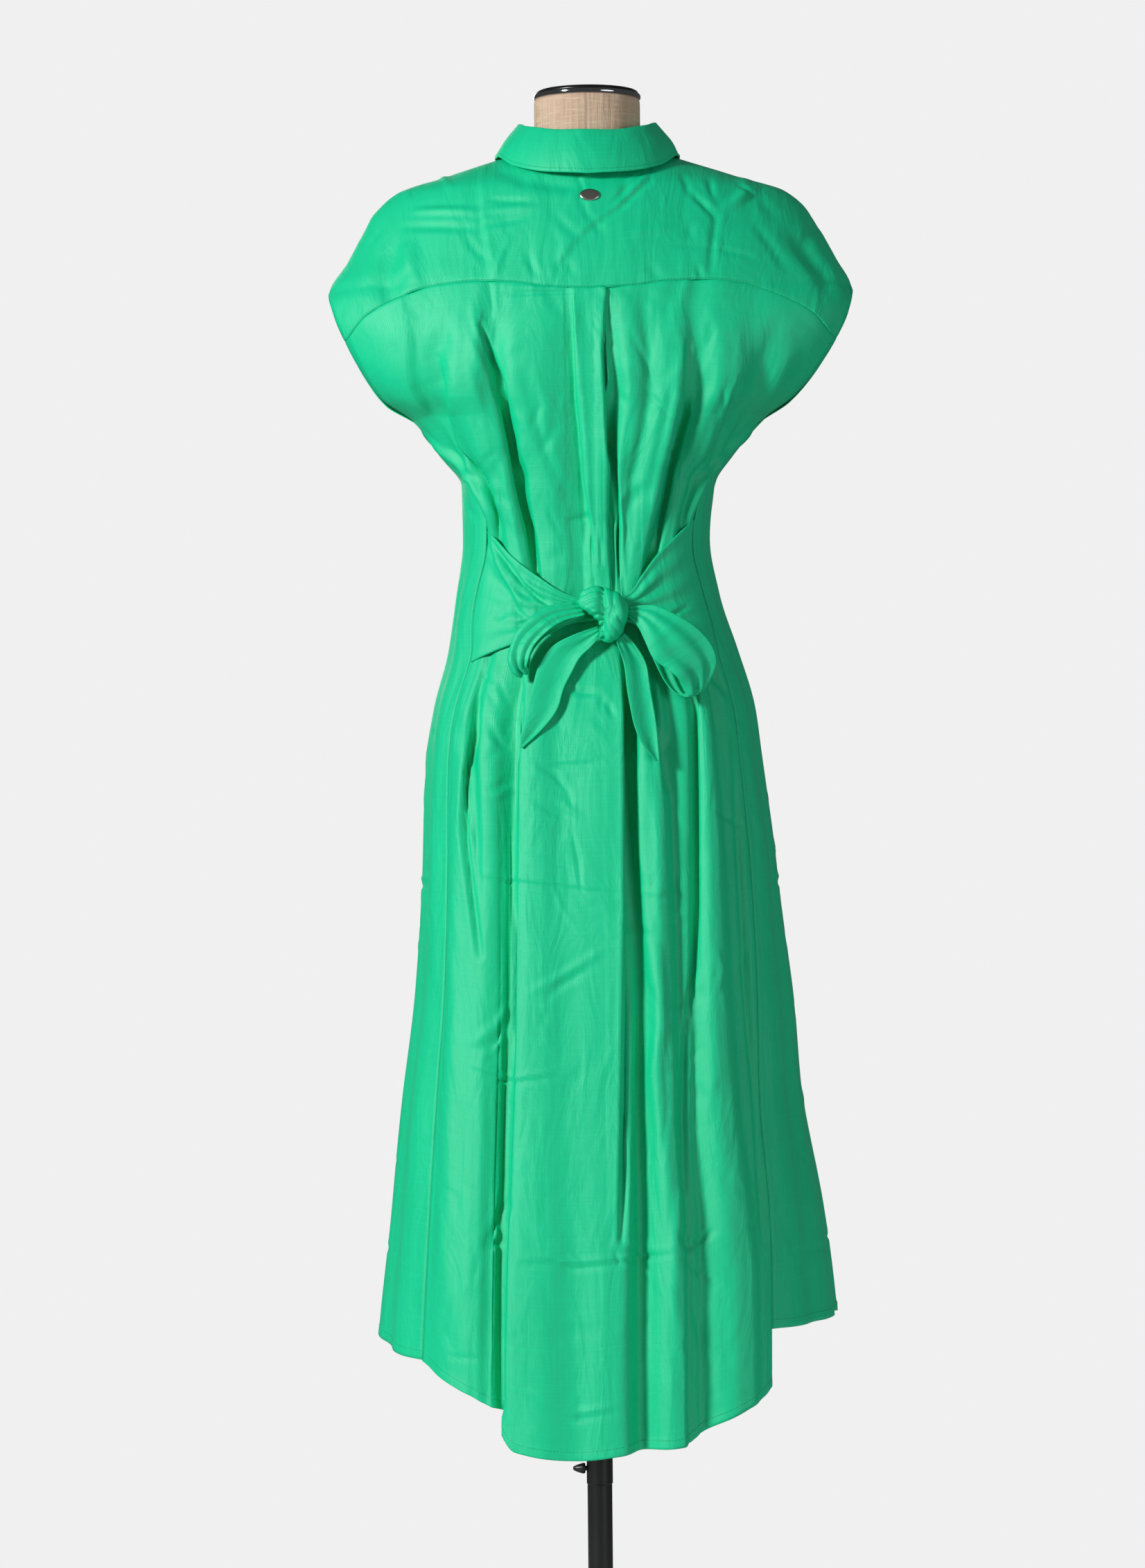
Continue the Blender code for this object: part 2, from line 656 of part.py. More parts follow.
def collection(name, hidden=False):
    group = bpy.data.collections.new(name)
    group.hide_render = hidden
    bpy.context.scene.collection.children.link(group)
    return group


def material(name, colour, roughness, metallic=0.0):
    """A plain finish; colour is linear."""
    made = bpy.data.materials.new(name)
    made.use_nodes = True
    shader = made.node_tree.nodes["Principled BSDF"]
    shader.inputs["Base Color"].default_value = (*colour, 1)
    shader.inputs["Roughness"].default_value = roughness
    shader.inputs["Metallic"].default_value = metallic
    return made


def add(name, mesh, finish):
    """A named object with its own copy of a finish."""
    made = bpy.data.objects.new(name, mesh)
    colour, roughness, metallic = finish
    mesh.materials.append(material(name, colour, roughness, metallic))
    mesh.shade_smooth()
    mesh.set_sharp_from_angle(angle=math.radians(40))
    PART.objects.link(made)
    return made


def grid_mesh(name, grid, closed=False, caps=False):
    """Faces between the points of a grid, leaving out points marked nan."""
    rows, columns = grid.shape[:2]
    number = np.full((rows, columns), -1)
    points = []
    for i in range(rows):
        for j in range(columns):
            if not np.isnan(grid[i, j, 0]):
                number[i, j] = len(points)
                points.append(tuple(float(value) for value in grid[i, j]))
    faces = []
    for i in range(rows - 1):
        for j in range(columns if closed else columns - 1):
            k = (j + 1) % columns
            face = (number[i, j], number[i + 1, j], number[i + 1, k], number[i, k])
            if min(face) >= 0:
                faces.append(tuple(int(corner) for corner in face))
    if caps:
        faces.append(tuple(int(n) for n in number[0]))
        faces.append(tuple(int(n) for n in number[-1][::-1]))
    mesh = bpy.data.meshes.new(name)
    mesh.from_pydata(points, [], faces)
    return mesh


def cloth(name, grid, finish, closed=False):
    """A cloth wall whose outer side is the grid."""
    made = add(name, grid_mesh(name, grid, closed), finish)
    wall = made.modifiers.new("wall", "SOLIDIFY")
    wall.thickness = CLOTH
    wall.offset = -1
    wall.use_even_offset = True
    wall.thickness_clamp = 1.2
    return made


def turned(name, profile, finish, steps=32):
    """A profile of (radius, height) points, from the top down its outer side, turned round."""
    mesh = bpy.data.meshes.new(name)
    points = [(radius, 0, height) for radius, height in profile]
    mesh.from_pydata(points, [(k, k + 1) for k in range(len(points) - 1)], [])
    made = add(name, mesh, finish)
    screw = made.modifiers.new("turn", "SCREW")
    screw.steps = screw.render_steps = steps
    screw.use_merge_vertices = True
    screw.merge_threshold = 0.00001
    screw.use_normal_calculate = False
    return made


# ---------------------------------------------------------------- the stand and the form

def build_stand():
    black = ((0.006, 0.006, 0.007), 0.4, 0.3)
    edge = 1.5 * MM
    turned("base_plate", [(0, HUB_TOP), (HUB_RADIUS - 6 * MM, HUB_TOP),
                          (HUB_RADIUS, BASE_THICK + 8 * MM), (HUB_RADIUS + 4 * MM, BASE_THICK),
                          (BASE_RADIUS - edge, BASE_THICK), (BASE_RADIUS, BASE_THICK - edge),
                          (BASE_RADIUS, 0), (0, 0)], black, steps=40)
    low = HUB_TOP + TOUCH
    tube = turned("lower_tube", [(0, low + 6 * MM), (TUBE_BORE, low + 6 * MM),
                                 (TUBE_BORE, TUBE_TOP), (COLLAR_RADIUS, TUBE_TOP),
                                 (COLLAR_RADIUS, COLLAR_LOW), (TUBE_RADIUS, COLLAR_LOW - MM),
                                 (TUBE_RADIUS, low), (0, low)], black, steps=24)
    stem = 2.5 * MM
    hole = cylinder("clamp_hole", stem + TOUCH, 10 * MM, CUTTERS)
    hole.location = (TUBE_RADIUS, 0, CLAMP_HEIGHT)
    hole.rotation_euler = (0, math.pi / 2, 0)
    hole.display_type = "WIRE"
    hole.hide_render = True
    cut = tube.modifiers.new("clamp hole", "BOOLEAN")
    cut.operation = "DIFFERENCE"
    cut.object = hole
    build_clamp(stem, black)
    turned("form_pole", [(0, FORM_LOW - TOUCH), (42 * MM, FORM_LOW - TOUCH),
                         (42 * MM, FORM_LOW - 5 * MM), (POLE_RADIUS + 4 * MM, FORM_LOW - 8 * MM),
                         (POLE_RADIUS, FORM_LOW - 20 * MM), (POLE_RADIUS, POLE_LOW),
                         (0, POLE_LOW)], black, steps=24)


def cylinder(name, radius, length, group):
    """A plain cylinder along Z about its own middle."""
    mesh = bpy.data.meshes.new(name)
    shape = bmesh.new()
    bmesh.ops.create_cone(shape, cap_ends=True, segments=24, radius1=radius, radius2=radius,
                          depth=length)
    shape.to_mesh(mesh)
    shape.free()
    made = bpy.data.objects.new(name, mesh)
    group.objects.link(made)
    return made


def build_clamp(stem, finish):
    """Clamp screw through the tube's wall, with a small wing outside; its axis is along X."""
    inner = POLE_RADIUS + TOUCH
    wing = COLLAR_RADIUS + 1.2 * MM
    screw = turned("clamp_screw", [(0, 27 * MM), (4.2 * MM, 27 * MM), (5.5 * MM, 25.5 * MM),
                                   (5.5 * MM, wing), (stem, wing), (stem, inner), (0, inner)],
                   finish, steps=16)
    screw.location = (0, 0, CLAMP_HEIGHT)
    screw.rotation_euler = (0, math.pi / 2, 0)


def build_form():
    linen = ((0.60, 0.43, 0.33), 0.9, 0.0)
    angle = np.linspace(0, 2 * np.pi, 32, endpoint=False)
    heights = FORM["height"][:, None] * MM
    square, roundness = FORM["square"][:, None], FORM["round"][:, None]
    depth = np.where(np.cos(angle) > 0, FORM["back"][:, None], FORM["front"][:, None]) * MM
    # angles run from the centre back to the wearer's right, so the faces look outwards
    x = -FORM["half"][:, None] * MM * power(np.sin(angle), 2 / square)
    y = depth * power(np.cos(angle), 2 * roundness)
    body = np.stack((x, y, np.broadcast_to(heights, x.shape)), axis=-1)
    neck = np.stack((-FORM_NECK_RADIUS * np.sin(angle),
                     FORM_NECK_RADIUS * np.cos(angle),
                     np.full_like(angle, FORM_NECK_TOP)), axis=-1)
    low_neck = neck - (0, 0, FORM_NECK_TOP - 1676 * MM)
    grid = np.concatenate((neck[None], low_neck[None], body))
    add("form_torso", grid_mesh("form_torso", grid, closed=True, caps=True), linen)
    low = FORM_NECK_TOP + TOUCH
    ring_radius = FORM_NECK_RADIUS + 0.8 * MM
    turned("neck_ring", [(0, low + 5 * MM), (ring_radius - MM, low + 5 * MM),
                         (ring_radius, low + 4 * MM), (ring_radius, low + MM),
                         (ring_radius - MM, low), (0, low)],
           ((0.8, 0.8, 0.8), 0.15, 1.0))
    low += 5 * MM + TOUCH
    cap = FORM_NECK_RADIUS - 1.5 * MM
    turned("neck_cap", [(0, low + 6 * MM), (cap * 0.6, low + 5.2 * MM), (cap - 2 * MM, low + 3 * MM),
                        (cap, low), (0, low)],
           ((0.006, 0.006, 0.007), 0.3, 0.0))


# ---------------------------------------------------------------- the dress

def build_panels(finish):
    cloth("back_yoke", yoke_grid(5, 2, 15 * MM), finish)
    cloth("back_bodice", bodice_grid(4, WAIST_ROWS, CELL), finish)
    cloth("back_skirt", skirt_grid(SKIRT_ROWS, CELL), finish)
    for side, name in ((1, "front_left"), (-1, "front_right")):
        grid = front_grid(side, FRONT_UPPER_ROWS, WAIST_ROWS, SKIRT_ROWS, 18 * MM)
        # columns run from the right hand round to the left one on every outer side
        cloth(name, grid if side > 0 else grid[:, ::-1], finish)


def build_front_edge(finish):
    """The placket that laps over the left front, with the buttons down it."""
    fronts = front_grid(-1, FRONT_UPPER_ROWS, WAIST_ROWS, SKIRT_ROWS, 18 * MM)
    heights = fronts[:, :1, 2]
    across = np.linspace(-PLACKET_HALF, PLACKET_HALF, 4)
    cloth("front_placket", on_body(across, heights, False, PLACKET_PROUD), finish)
    for number in range(BUTTONS):
        build_button(f"button_{number + 1:02d}", BUTTON_TOP - number * BUTTON_STEP)


def build_button(name, height):
    """A flat button with a raised rim, standing on the placket."""
    rim = 1.4 * MM
    top, dip = BUTTON_THICK, 0.6 * MM
    button = turned(name, [(0, top - dip), (BUTTON_RADIUS - 2 * rim, top - dip),
                           (BUTTON_RADIUS - rim, top), (BUTTON_RADIUS, top - 0.7 * MM),
                           (BUTTON_RADIUS, 0), (0, 0)],
                    ((0.02, 0.35, 0.18), 0.3, 0.0), steps=12)
    span = 12 * MM
    above = on_body(0.0, height + span, False, PLACKET_PROUD)
    below = on_body(0.0, height - span, False, PLACKET_PROUD)
    lean = math.atan2(above[1] - below[1], 2 * span)
    hollow = max(0, on_body(0.0, height, False, PLACKET_PROUD)[1] - (above[1] + below[1]) / 2)
    middle = on_body(0.0, height, False, PLACKET_PROUD + TOUCH + 0.4 * MM + hollow)
    button.location = tuple(middle)
    button.rotation_euler = (math.pi / 2 - lean, 0, 0)


def build_collar(finish):
    """Collar stand round the neckline, and the leaf that folds down over it."""
    turns = np.radians(np.linspace(-177, 177, 37))[::-1]
    seam = neckline(turns)
    fold = np.stack((67 * MM * np.sin(turns),
                     np.where(np.cos(turns) > 0, 64, 70) * MM * np.cos(turns),
                     smooth(np.abs(np.degrees(turns)), (0, 90, 180), (1668, 1686, 1650)) * MM),
                    axis=-1)
    seam = seam * (0.98, 0.98, 1) + (0, 0, TOUCH + 1.1 * MM)
    rise = np.array((1, 0.5, 0))[:, None, None]
    cloth("collar_stand", seam + (fold - seam) * rise, finish)
    edge_turn = turns * 150 / 177
    degrees = np.abs(np.degrees(turns))
    edge_x = 94 * MM * np.sin(edge_turn)
    edge_y = np.where(np.cos(edge_turn) > 0, 86, 97) * MM * np.cos(edge_turn)
    hang = smooth(degrees, (0, 45, 90, 125, 177), (1627, 1634, 1653, 1630, 1582)) * MM
    shoulder = np.where(edge_y > 0, height_at(edge_x, edge_y, True),
                        height_at(edge_x, edge_y)) + 3.5 * MM
    edge = np.stack((edge_x, edge_y, np.maximum(hang, shoulder)), axis=-1)
    out = np.stack((np.sin(turns), np.cos(turns), np.zeros_like(turns)), axis=-1)
    roll = [fold + out * reach * MM + np.array((0, 0, climb * MM))
            for reach, climb in ((-0.8, 2.0), (2.2, 2.6), (4.6, 0.4))]
    last = roll[-1]
    below = [last + (edge - last) * part + out * (3 * MM * math.sin(math.pi * part))
             for part in (0.3, 0.65, 1.0)]
    cloth("collar_leaf", np.array(roll + below), finish)


def build_stud():
    """Plain oval metal stud on the yoke below the collar."""
    height = 1606 * MM
    span = 6 * MM
    stud = turned("nape_stud", [(0, 1.6 * MM), (7 * MM, 1.5 * MM), (9.6 * MM, 0.9 * MM),
                                (10 * MM, 0), (0, 0)], ((0.6, 0.6, 0.58), 0.3, 1.0), steps=32)
    stud.scale = (1, 0.66, 1)
    above, below = (on_body(0.0, height + s, True) for s in (span, -span))
    lean = math.atan2(below[1] - above[1], 2 * span)
    stud.location = tuple(on_body(-0.0015, height, True, TOUCH + 0.5 * MM))
    stud.rotation_euler = (-math.pi / 2 + lean, 0, 0)


def tie_grid(tie, side, rows, columns):
    """A tie from the side seam to the knot, its pleats gathering towards the knot."""
    s = np.linspace(0, 1, columns + 1)
    t = np.linspace(0, 1, rows + 1)[:, None]
    upper, lower = (smooth(s, tie["along"], tie[name]) for name in ("upper", "lower"))
    upper_z, lower_z, off, wave = (smooth(s, tie["along"], tie[name]) * MM
                                   for name in ("upper_z", "lower_z", "lift", "wave"))
    z = upper_z + (lower_z - upper_z) * t
    x = (upper + (lower - upper) * t) * back_end(z, side)
    proud = off + wave * np.cos(2 * np.pi * TIE_PLEATS * t)
    return on_body(x, z, True, proud)


def knot_grid(rows, columns):
    """The knot: a wrap with the twisted ends beside it, from its inner side out to the back."""
    angle = np.linspace(0, 2 * np.pi, columns, endpoint=False)
    rise = np.linspace(math.radians(-80), math.radians(80), rows + 1)[:, None]
    radius = smooth(np.degrees(angle), KNOT_OUTLINE["angle"], KNOT_OUTLINE["radius"]) * MM
    spread = radius * np.cos(rise) ** 0.7
    x, z = spread * np.sin(angle), spread * np.cos(angle)
    crease = 1 - CREASE_DEPTH * np.exp(-((x - KNOT_CREASE) / CREASE_WIDTH) ** 2) * (rise > 0)
    y = KNOT_DEPTH * np.sin(rise) * crease
    return np.stack((x, y, z), axis=-1)[::-1] + KNOT


def loop_grid(loop, rows, columns):
    """A bow loop: out from the knot, round its end and back to the knot beneath itself."""
    keys = np.linspace(0, 1, len(loop["outer"]))
    s = np.linspace(0, 1, columns + 1)
    t = np.linspace(0, 1, rows + 1)[:, None]

    def between(name):
        ends = [smooth(s, keys, loop[edge + name]) * MM for edge in ("outer", "inner")]
        return ends[0] + (ends[1] - ends[0]) * t

    arch = LOOP_SWELL * np.sin(np.pi * t) * np.cos(np.pi * s) * np.sin(np.pi * s)
    return on_body(between(""), between("_z"), True, between("_off") + arch)


def tail_grid(tail, rows, columns):
    """A hanging end of a tie, with a soft lengthwise fold and a pointed end."""
    keys = np.linspace(0, 1, len(tail["left"]))
    s = np.linspace(0, 1, rows + 1)
    left, left_z, right, right_z = (smooth(s, keys, tail[name])[:, None] * MM
                                    for name in ("left", "left_z", "right", "right_z"))
    t = np.linspace(0, 1, columns + 1)[None, :]
    x = left + (right - left) * t
    z = left_z + (right_z - left_z) * t
    fold = TAIL_FOLD * np.cos(1.4 * np.pi * t) * ease((left - right) / (16 * MM))
    off = TAIL_OFF[0] + (TAIL_OFF[1] - TAIL_OFF[0]) * ease(s[:, None] / 0.4)
    return on_body(x, z, True, off + fold)


def build_bow(finish):
    cloth("tie_panel_left", tie_grid(TIE_LEFT, 1, 9, 9), finish)
    cloth("tie_panel_right", tie_grid(TIE_RIGHT, -1, 9, 9)[:, ::-1], finish)
    add("bow_knot", grid_mesh("bow_knot", knot_grid(10, 28), closed=True, caps=True), finish)
    cloth("bow_loop_left", loop_grid(LOOP_LEFT, 4, 20), finish)
    cloth("bow_loop_right", loop_grid(LOOP_RIGHT, 4, 22)[::-1], finish)
    cloth("tie_tail_left", tail_grid(TAIL_LEFT, 9, 4), finish)
    cloth("tie_tail_right", tail_grid(TAIL_RIGHT, 9, 4), finish)


clear_scene()
PART = collection("midi_shirt_dress_on_dress_form")
CUTTERS = collection("cutters", hidden=True)
GREEN_CLOTH = (GREEN, 0.6, 0.0)
build_stand()
build_form()
build_panels(GREEN_CLOTH)
build_front_edge(GREEN_CLOTH)
build_collar(GREEN_CLOTH)
build_stud()
build_bow(GREEN_CLOTH)
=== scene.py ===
"""Midi shirt dress with a bow behind the waist, on a limbless dress form with a pole stand.

Metres, +Z up.  The dress faces -Y, its back with the bow faces +Y and the camera, and +X is the
wearer's left, which is the left of the picture.  Tables are in millimetres and degrees.
A share is a place across a panel: 1 at the wearer's left side seam, 0 in the middle, -1 at the
right one.  Proud is how far a fold stands out from the body's ring.
"""
import math

import bmesh
import bpy
import numpy as np
from mathutils import Matrix, Vector


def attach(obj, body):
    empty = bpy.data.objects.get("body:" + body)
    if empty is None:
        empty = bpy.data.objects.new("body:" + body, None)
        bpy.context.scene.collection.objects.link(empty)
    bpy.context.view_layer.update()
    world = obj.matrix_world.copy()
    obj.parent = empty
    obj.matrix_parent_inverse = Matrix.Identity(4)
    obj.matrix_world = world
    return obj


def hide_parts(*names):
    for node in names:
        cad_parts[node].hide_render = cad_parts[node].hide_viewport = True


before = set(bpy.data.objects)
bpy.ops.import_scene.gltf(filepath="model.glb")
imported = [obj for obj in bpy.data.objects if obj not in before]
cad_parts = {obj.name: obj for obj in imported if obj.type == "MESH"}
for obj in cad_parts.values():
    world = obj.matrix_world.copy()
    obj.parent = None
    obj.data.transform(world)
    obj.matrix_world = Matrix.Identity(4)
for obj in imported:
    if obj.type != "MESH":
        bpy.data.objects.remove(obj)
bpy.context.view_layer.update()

MM = 0.001

# cloth and seams
SLEEVE_HEM = 7             # depths of the turned hems in millimetres
HEM = 10
HALF_SEAM = 0.02 * MM      # each panel stops this far short of a seam line
TOUCH = 0.3 * MM           # between pieces that touch

# heights of the dress
NAPE = 1643 * MM           # collar seam at the centre back
MOUTH_TIP = 1519 * MM      # sleeve mouth, top and bottom
MOUTH_LOW = 1388 * MM
MOUTH_HALF_DEPTH = 52 * MM
SEAM_AT_MOUTH = 1466 * MM  # where the back yoke seam meets the sleeve mouth
WAIST = 1195 * MM          # back waist seam, under the ties
HEM_CENTRE_FRONT = 432 * MM
HEM_SIDE = {1: 471 * MM, -1: 489 * MM}
HEM_DIP = {1: 11 * MM, -1: 0}   # how far the front's hem drops again to the side seam
HEM_HIGH = 0.72            # the share of a front at which its hem is highest

# neck and collar
NECK_HALF_WIDTH = 72 * MM
NECK_FRONT_DEPTH = 74 * MM
FRONT_SEAM_DEPTH = 28 * MM  # the yoke reaches this far over the shoulder to the front
NECK_SHARE = 0.3           # this share of a front's top edge is the neckline

# front edge
PLACKET_HALF = 15.5 * MM
PLACKET_PROUD = 2.2 * MM
BUTTON_RADIUS = 5.75 * MM
BUTTON_THICK = 2.4 * MM
BUTTONS = 10
BUTTON_TOP = 1566 * MM
BUTTON_STEP = 97 * MM

# stand
BASE_RADIUS = 170 * MM
BASE_THICK = 6 * MM
HUB_RADIUS = 30 * MM
HUB_TOP = 28 * MM
TUBE_RADIUS = 12.5 * MM
TUBE_BORE = 11.6 * MM
TUBE_TOP = 345 * MM
COLLAR_RADIUS = 13.2 * MM
COLLAR_LOW = 316 * MM
POLE_RADIUS = 11 * MM
POLE_LOW = 140 * MM
CLAMP_HEIGHT = 331 * MM
FORM_LOW = 940 * MM
FORM_NECK_TOP = 1712 * MM
FORM_NECK_RADIUS = 53.5 * MM


def table(text):
    """Columns of a table by name; a column of words stays a list."""
    rows = [line.split() for line in text.strip().splitlines()]
    columns = {}
    for place, name in enumerate(rows[0]):
        cells = [row[place] for row in rows[1:]]
        words = any(cell[0].isalpha() for cell in cells)
        columns[name] = cells if words else np.array([float(cell) for cell in cells])
    return columns


# Rings of the dress without its folds: half width to the wearer's left and right, depth behind
# and before the middle, and how square the ring is: x = half sin^(2/square), y = depth cos^(2 round).
RINGS = table("""
height left right back front square round
1659    72   72   40   34   1.80  0.75
1650    99   99   54   44   1.80  0.75
1643   121  122   60   50   1.80  0.74
1633   153  154   67   56   1.80  0.72
1627   174  176   71   60   1.82  0.70
1619   194  198   76   65   1.85  0.68
1600   215  221   84   74   1.90  0.64
1576   229  236   94   85   2.00  0.60
1550   243  250  103   96   2.05  0.56
1519   262  265  111  109   2.10  0.52
1492   255  259  115  118   2.20  0.48
1464   243  246  118  126   2.30  0.45
1436   228  228  118  131   2.30  0.44
1408   207  203  115  131   2.30  0.435
1388   177  175  112  129   2.30  0.435
1352   150  144  106  122   2.30  0.435
1324   130  126  100  114   2.30  0.435
1268   129  120   92  100   2.30  0.435
1212   136  130   93  100   2.30  0.435
1156   145  148  105  111   2.30  0.435
1100   160  163  121  122   2.30  0.435
1044   168  170  136  131   2.30  0.435
932    172  185  152  143   2.30  0.435
820    180  198  167  155   2.25  0.44
708    194  207  182  167   2.20  0.45
596    206  226  198  179   2.20  0.45
465    220  240  213  191   2.15  0.46
350    227  248  222  197   2.15  0.46
""")

# Side seams: degrees round from the centre back, where the ties have pulled them backwards.
SIDE_SEAMS = table("""
height left right
1388   90   90
1360   78   80
1320   60   64
1282   51.5 56.5
1250   52   55
1220   55   56.5
1192   57   57.5
1150   53.5 55
1080   57   57
800    54   51
420    50   42
""")

# Back yoke seam: height over the distance from the centre back, alike on both sides.
YOKE_SEAM = table("""
x    height
0    1510
40   1512
75   1517
115  1519
155  1516
190  1505
222  1489
243  1466
""")

# Folds of the back bodice from left to right: at the yoke, under the arm, at the upper corners of
# the ties and above the waist.
BODICE_FOLDS = table("""
fold         yoke   arm    side   waist   proud_yoke proud_arm proud_side proud_waist
sleeve_crest  0.820  0.930  0.940  0.950   3     3     2     0
sleeve_foot   0.724  0.840  0.880  0.880  -4    -4    -2     0
left_crest    0.483  0.630  0.760  0.620   4     7     7     4
left_foot     0.401  0.510  0.636  0.500  -5    -8    -8    -4
blade_crest   0.261  0.390  0.500  0.380   3     4     4     3
blade_foot    0.089  0.077  0.078  0.080  -2    -3    -3    -2
pleat_left    0.058  0.012 -0.002 -0.020   3     3     3     2
pleat_right  -0.059 -0.105 -0.125 -0.150   4     5     5     3
pleat_shadow -0.075 -0.130 -0.155 -0.185  -4    -5    -5    -3
inner_crest  -0.148 -0.250 -0.260 -0.240   3     3     3     2
inner_foot   -0.223 -0.327 -0.350 -0.290  -1     1     1     1
right_crest  -0.342 -0.440 -0.520 -0.400   4     7     6     3
right_foot   -0.431 -0.575 -0.655 -0.520  -5    -7    -7    -4
outer_crest  -0.556 -0.720 -0.780 -0.680   3     4     4     3
outer_foot   -0.700 -0.850 -0.880 -0.870  -3    -3    -2     0
""")
BODICE_KEYS = (1487, 1371, 1304, 1222)

# Pleats of the back skirt from left to right, at the hip, the knee and the hem.
SKIRT_FOLDS = table("""
fold         hip    knee    hem    proud_hip proud_knee proud_hem hem_height
left_crest    0.905  0.830  0.757   6     7    10   437
left_foot     0.840  0.745  0.680  -5     5     8   430
second_crest  0.745  0.670  0.617   5     5     4   423
panel_shadow  0.541  0.527  0.545  -5    -9    -9   416
panel_edge    0.518  0.503  0.522   7     9    11   396
panel_crest   0.430  0.421  0.442   9    10    13   380
panel_middle  0.238  0.190  0.131   4     6     4   372
panel_right  -0.178 -0.180 -0.090   9     9     9   376
deep_foot    -0.274 -0.264 -0.247 -10   -12   -12   380
third_crest  -0.407 -0.411 -0.453   7     6     9   383
third_foot   -0.530 -0.520 -0.512  -5    -4    -3   386
fourth_crest -0.635 -0.562 -0.545   1    -3    -5   389
fourth_foot  -0.706 -0.608 -0.590  -7    -8    -8   394
last_crest   -0.773 -0.726 -0.838   5     8     8   416
last_foot    -0.850 -0.850 -0.930  -3     0     2   424
""")
SKIRT_KEYS = (1080, 807, 452)
BACK_HEM_ENDS = {1: 459 * MM, -1: 434 * MM}
TAIL_DROP = {1: 6 * MM, 0: 30 * MM, -1: 61 * MM}   # the last row: how far the back hangs lower

# Folds of each front from the front edge, 0, round to the side seam, 1.
FRONT_FOLDS = table("""
fold    place  bust waist  hip  hem
edge    0.060   0    0     0    0
first   0.130   0   -1    -2   -5
second  0.220   2    3     3    8
third   0.310   0   -3    -3   -7
fourth  0.400   3    3     4    9
fifth   0.490   0   -2    -3   -7
sixth   0.580   0    2     3    6
seventh 0.660  -2   -2    -2   -4
side    0.740   0    0     1    2
hollow  0.840   0   -1    -2   -3
last    0.930   0    0     2    3
""")
FRONT_KEYS = (1400, 1230, 950, 440)
FOLD_START = 0.35          # the folds die out over this share of the way below the top edge
FRONT_SHIFT = {1: 0.0, -1: 0.018}   # the right front's folds lie a little further round

SHARPER = 2.0              # the folds' hollows are sharper than their crests

# The ties from the side seam to the knot: the shares and heights of their edges behind the
# waist, how far they lie off the body and how deep their pleats are.
TIE_LEFT = table("""
along upper upper_z lower lower_z lift wave
0.00   0.975  1275   0.975  1144   2.8  0.0
0.12   0.860  1264   0.885  1149   4.8  0.6
0.35   0.700  1247   0.724  1157   6.5  1.5
0.65   0.450  1227   0.467  1168   8.0  1.9
0.88   0.150  1207   0.120  1181   9.0  1.7
1.00  -0.100  1202  -0.110  1184   8.0  1.2
""")
TIE_RIGHT = table("""
along upper upper_z lower lower_z lift wave
0.00   0.975  1285   0.975  1159   2.8  0.0
0.12   0.830  1270   0.870  1161   4.2  0.6
0.35   0.620  1250   0.730  1164   6.5  1.5
0.65   0.440  1228   0.520  1171   8.0  1.9
0.88   0.300  1209   0.310  1180   9.0  1.7
1.00   0.130  1203   0.130  1185   8.0  1.2
""")
TIE_PLEATS = 4.5
TIE_SMOOTH = 0.45          # share of that depth that the drawn pleats keep

# The knot's outline about its middle, from straight up round to the wearer's left.
KNOT = np.array((-19, 121, 1187.6)) * MM
KNOT_DEPTH = 15 * MM
KNOT_CREASE = 9 * MM       # the wrap meets the twisted part this far left of the middle
CREASE_WIDTH = 4 * MM
CREASE_DEPTH = 0.3         # share of the knot's depth
KNOT_OUTLINE = table("""
angle radius
-13   23.2
9     26.4
17    29.0
34    33.5
53    36.5
68    36.0
85    22.0
110   14.5
135   14.7
150   24.1
169   27.4
186   25.3
211   20.2
244   15.5
290   17.6
347   23.2
369   26.4
""")

# The bow's loops, from the knot out along the outer layer, round the end and back beneath it: the
# places of the ribbon's outer and inner edges and how far each lies off the body.
LOOP_LEFT = table("""
outer outer_z inner inner_z outer_off inner_off
 12.2  1201.5   6.5  1188    21   21
 34    1198    25    1182    27   27
 53    1185    38    1172    32   31
 66    1166    49    1159    34   31
 71    1145    55    1147    33   28
 69    1131    58    1138    27   24
 67    1128    57    1135    20   18
 67    1141    57    1146    14.5 13.5
 60    1161    47    1164    14.5 13.5
 38    1183    28    1177    15.5 14.5
 11.8  1197     7.0  1187    17   16.5
""")
LOOP_RIGHT = table("""
outer  outer_z inner inner_z outer_off inner_off
 -33    1195   -32    1186    21   21
 -50    1197   -39    1177    27   26
 -72    1186   -45    1161    33   30
 -90    1171   -52    1144    35   31
-101    1154   -64    1134    33   30
-105    1138   -77    1121    28   27
-102    1119   -85    1107    21   21
 -94    1108   -76    1110    15.5 15.5
 -88    1121   -67    1121    13   13
 -79    1151   -57    1142    13   13
 -59    1178   -46    1169    13.5 13.5
 -37    1191   -34    1184    16.5 16.5
""")
LOOP_SWELL = 2.5 * MM      # the ribbon arches this far between its edges

# The hanging ends of the ties: the left and right edges from the knot down to the tip.
TAIL_LEFT = table("""
left left_z right right_z
-5.0  1176.8  -6.7 1168.0
 16   1169     2   1157
 36   1158    12   1146
 49   1140    19   1133
 55   1118    27   1117
 60   1096    33   1097
 65   1075    47   1077
 68   1058.5  66   1058
""")
TAIL_RIGHT = table("""
left  left_z right right_z
-21    1162.2 -28.8 1170
-25    1151   -39  1158
-29    1135.5 -50  1137
-31    1115   -53  1115
-34    1096   -56  1096
-37    1080   -58.5 1077
-44    1061   -59.5 1061
-56.5  1044   -60  1044
""")
TAIL_OFF = (18 * MM, 13.5 * MM)   # off the body at the knot and at the tip
TAIL_FOLD = 2.6 * MM       # height of the soft fold along it

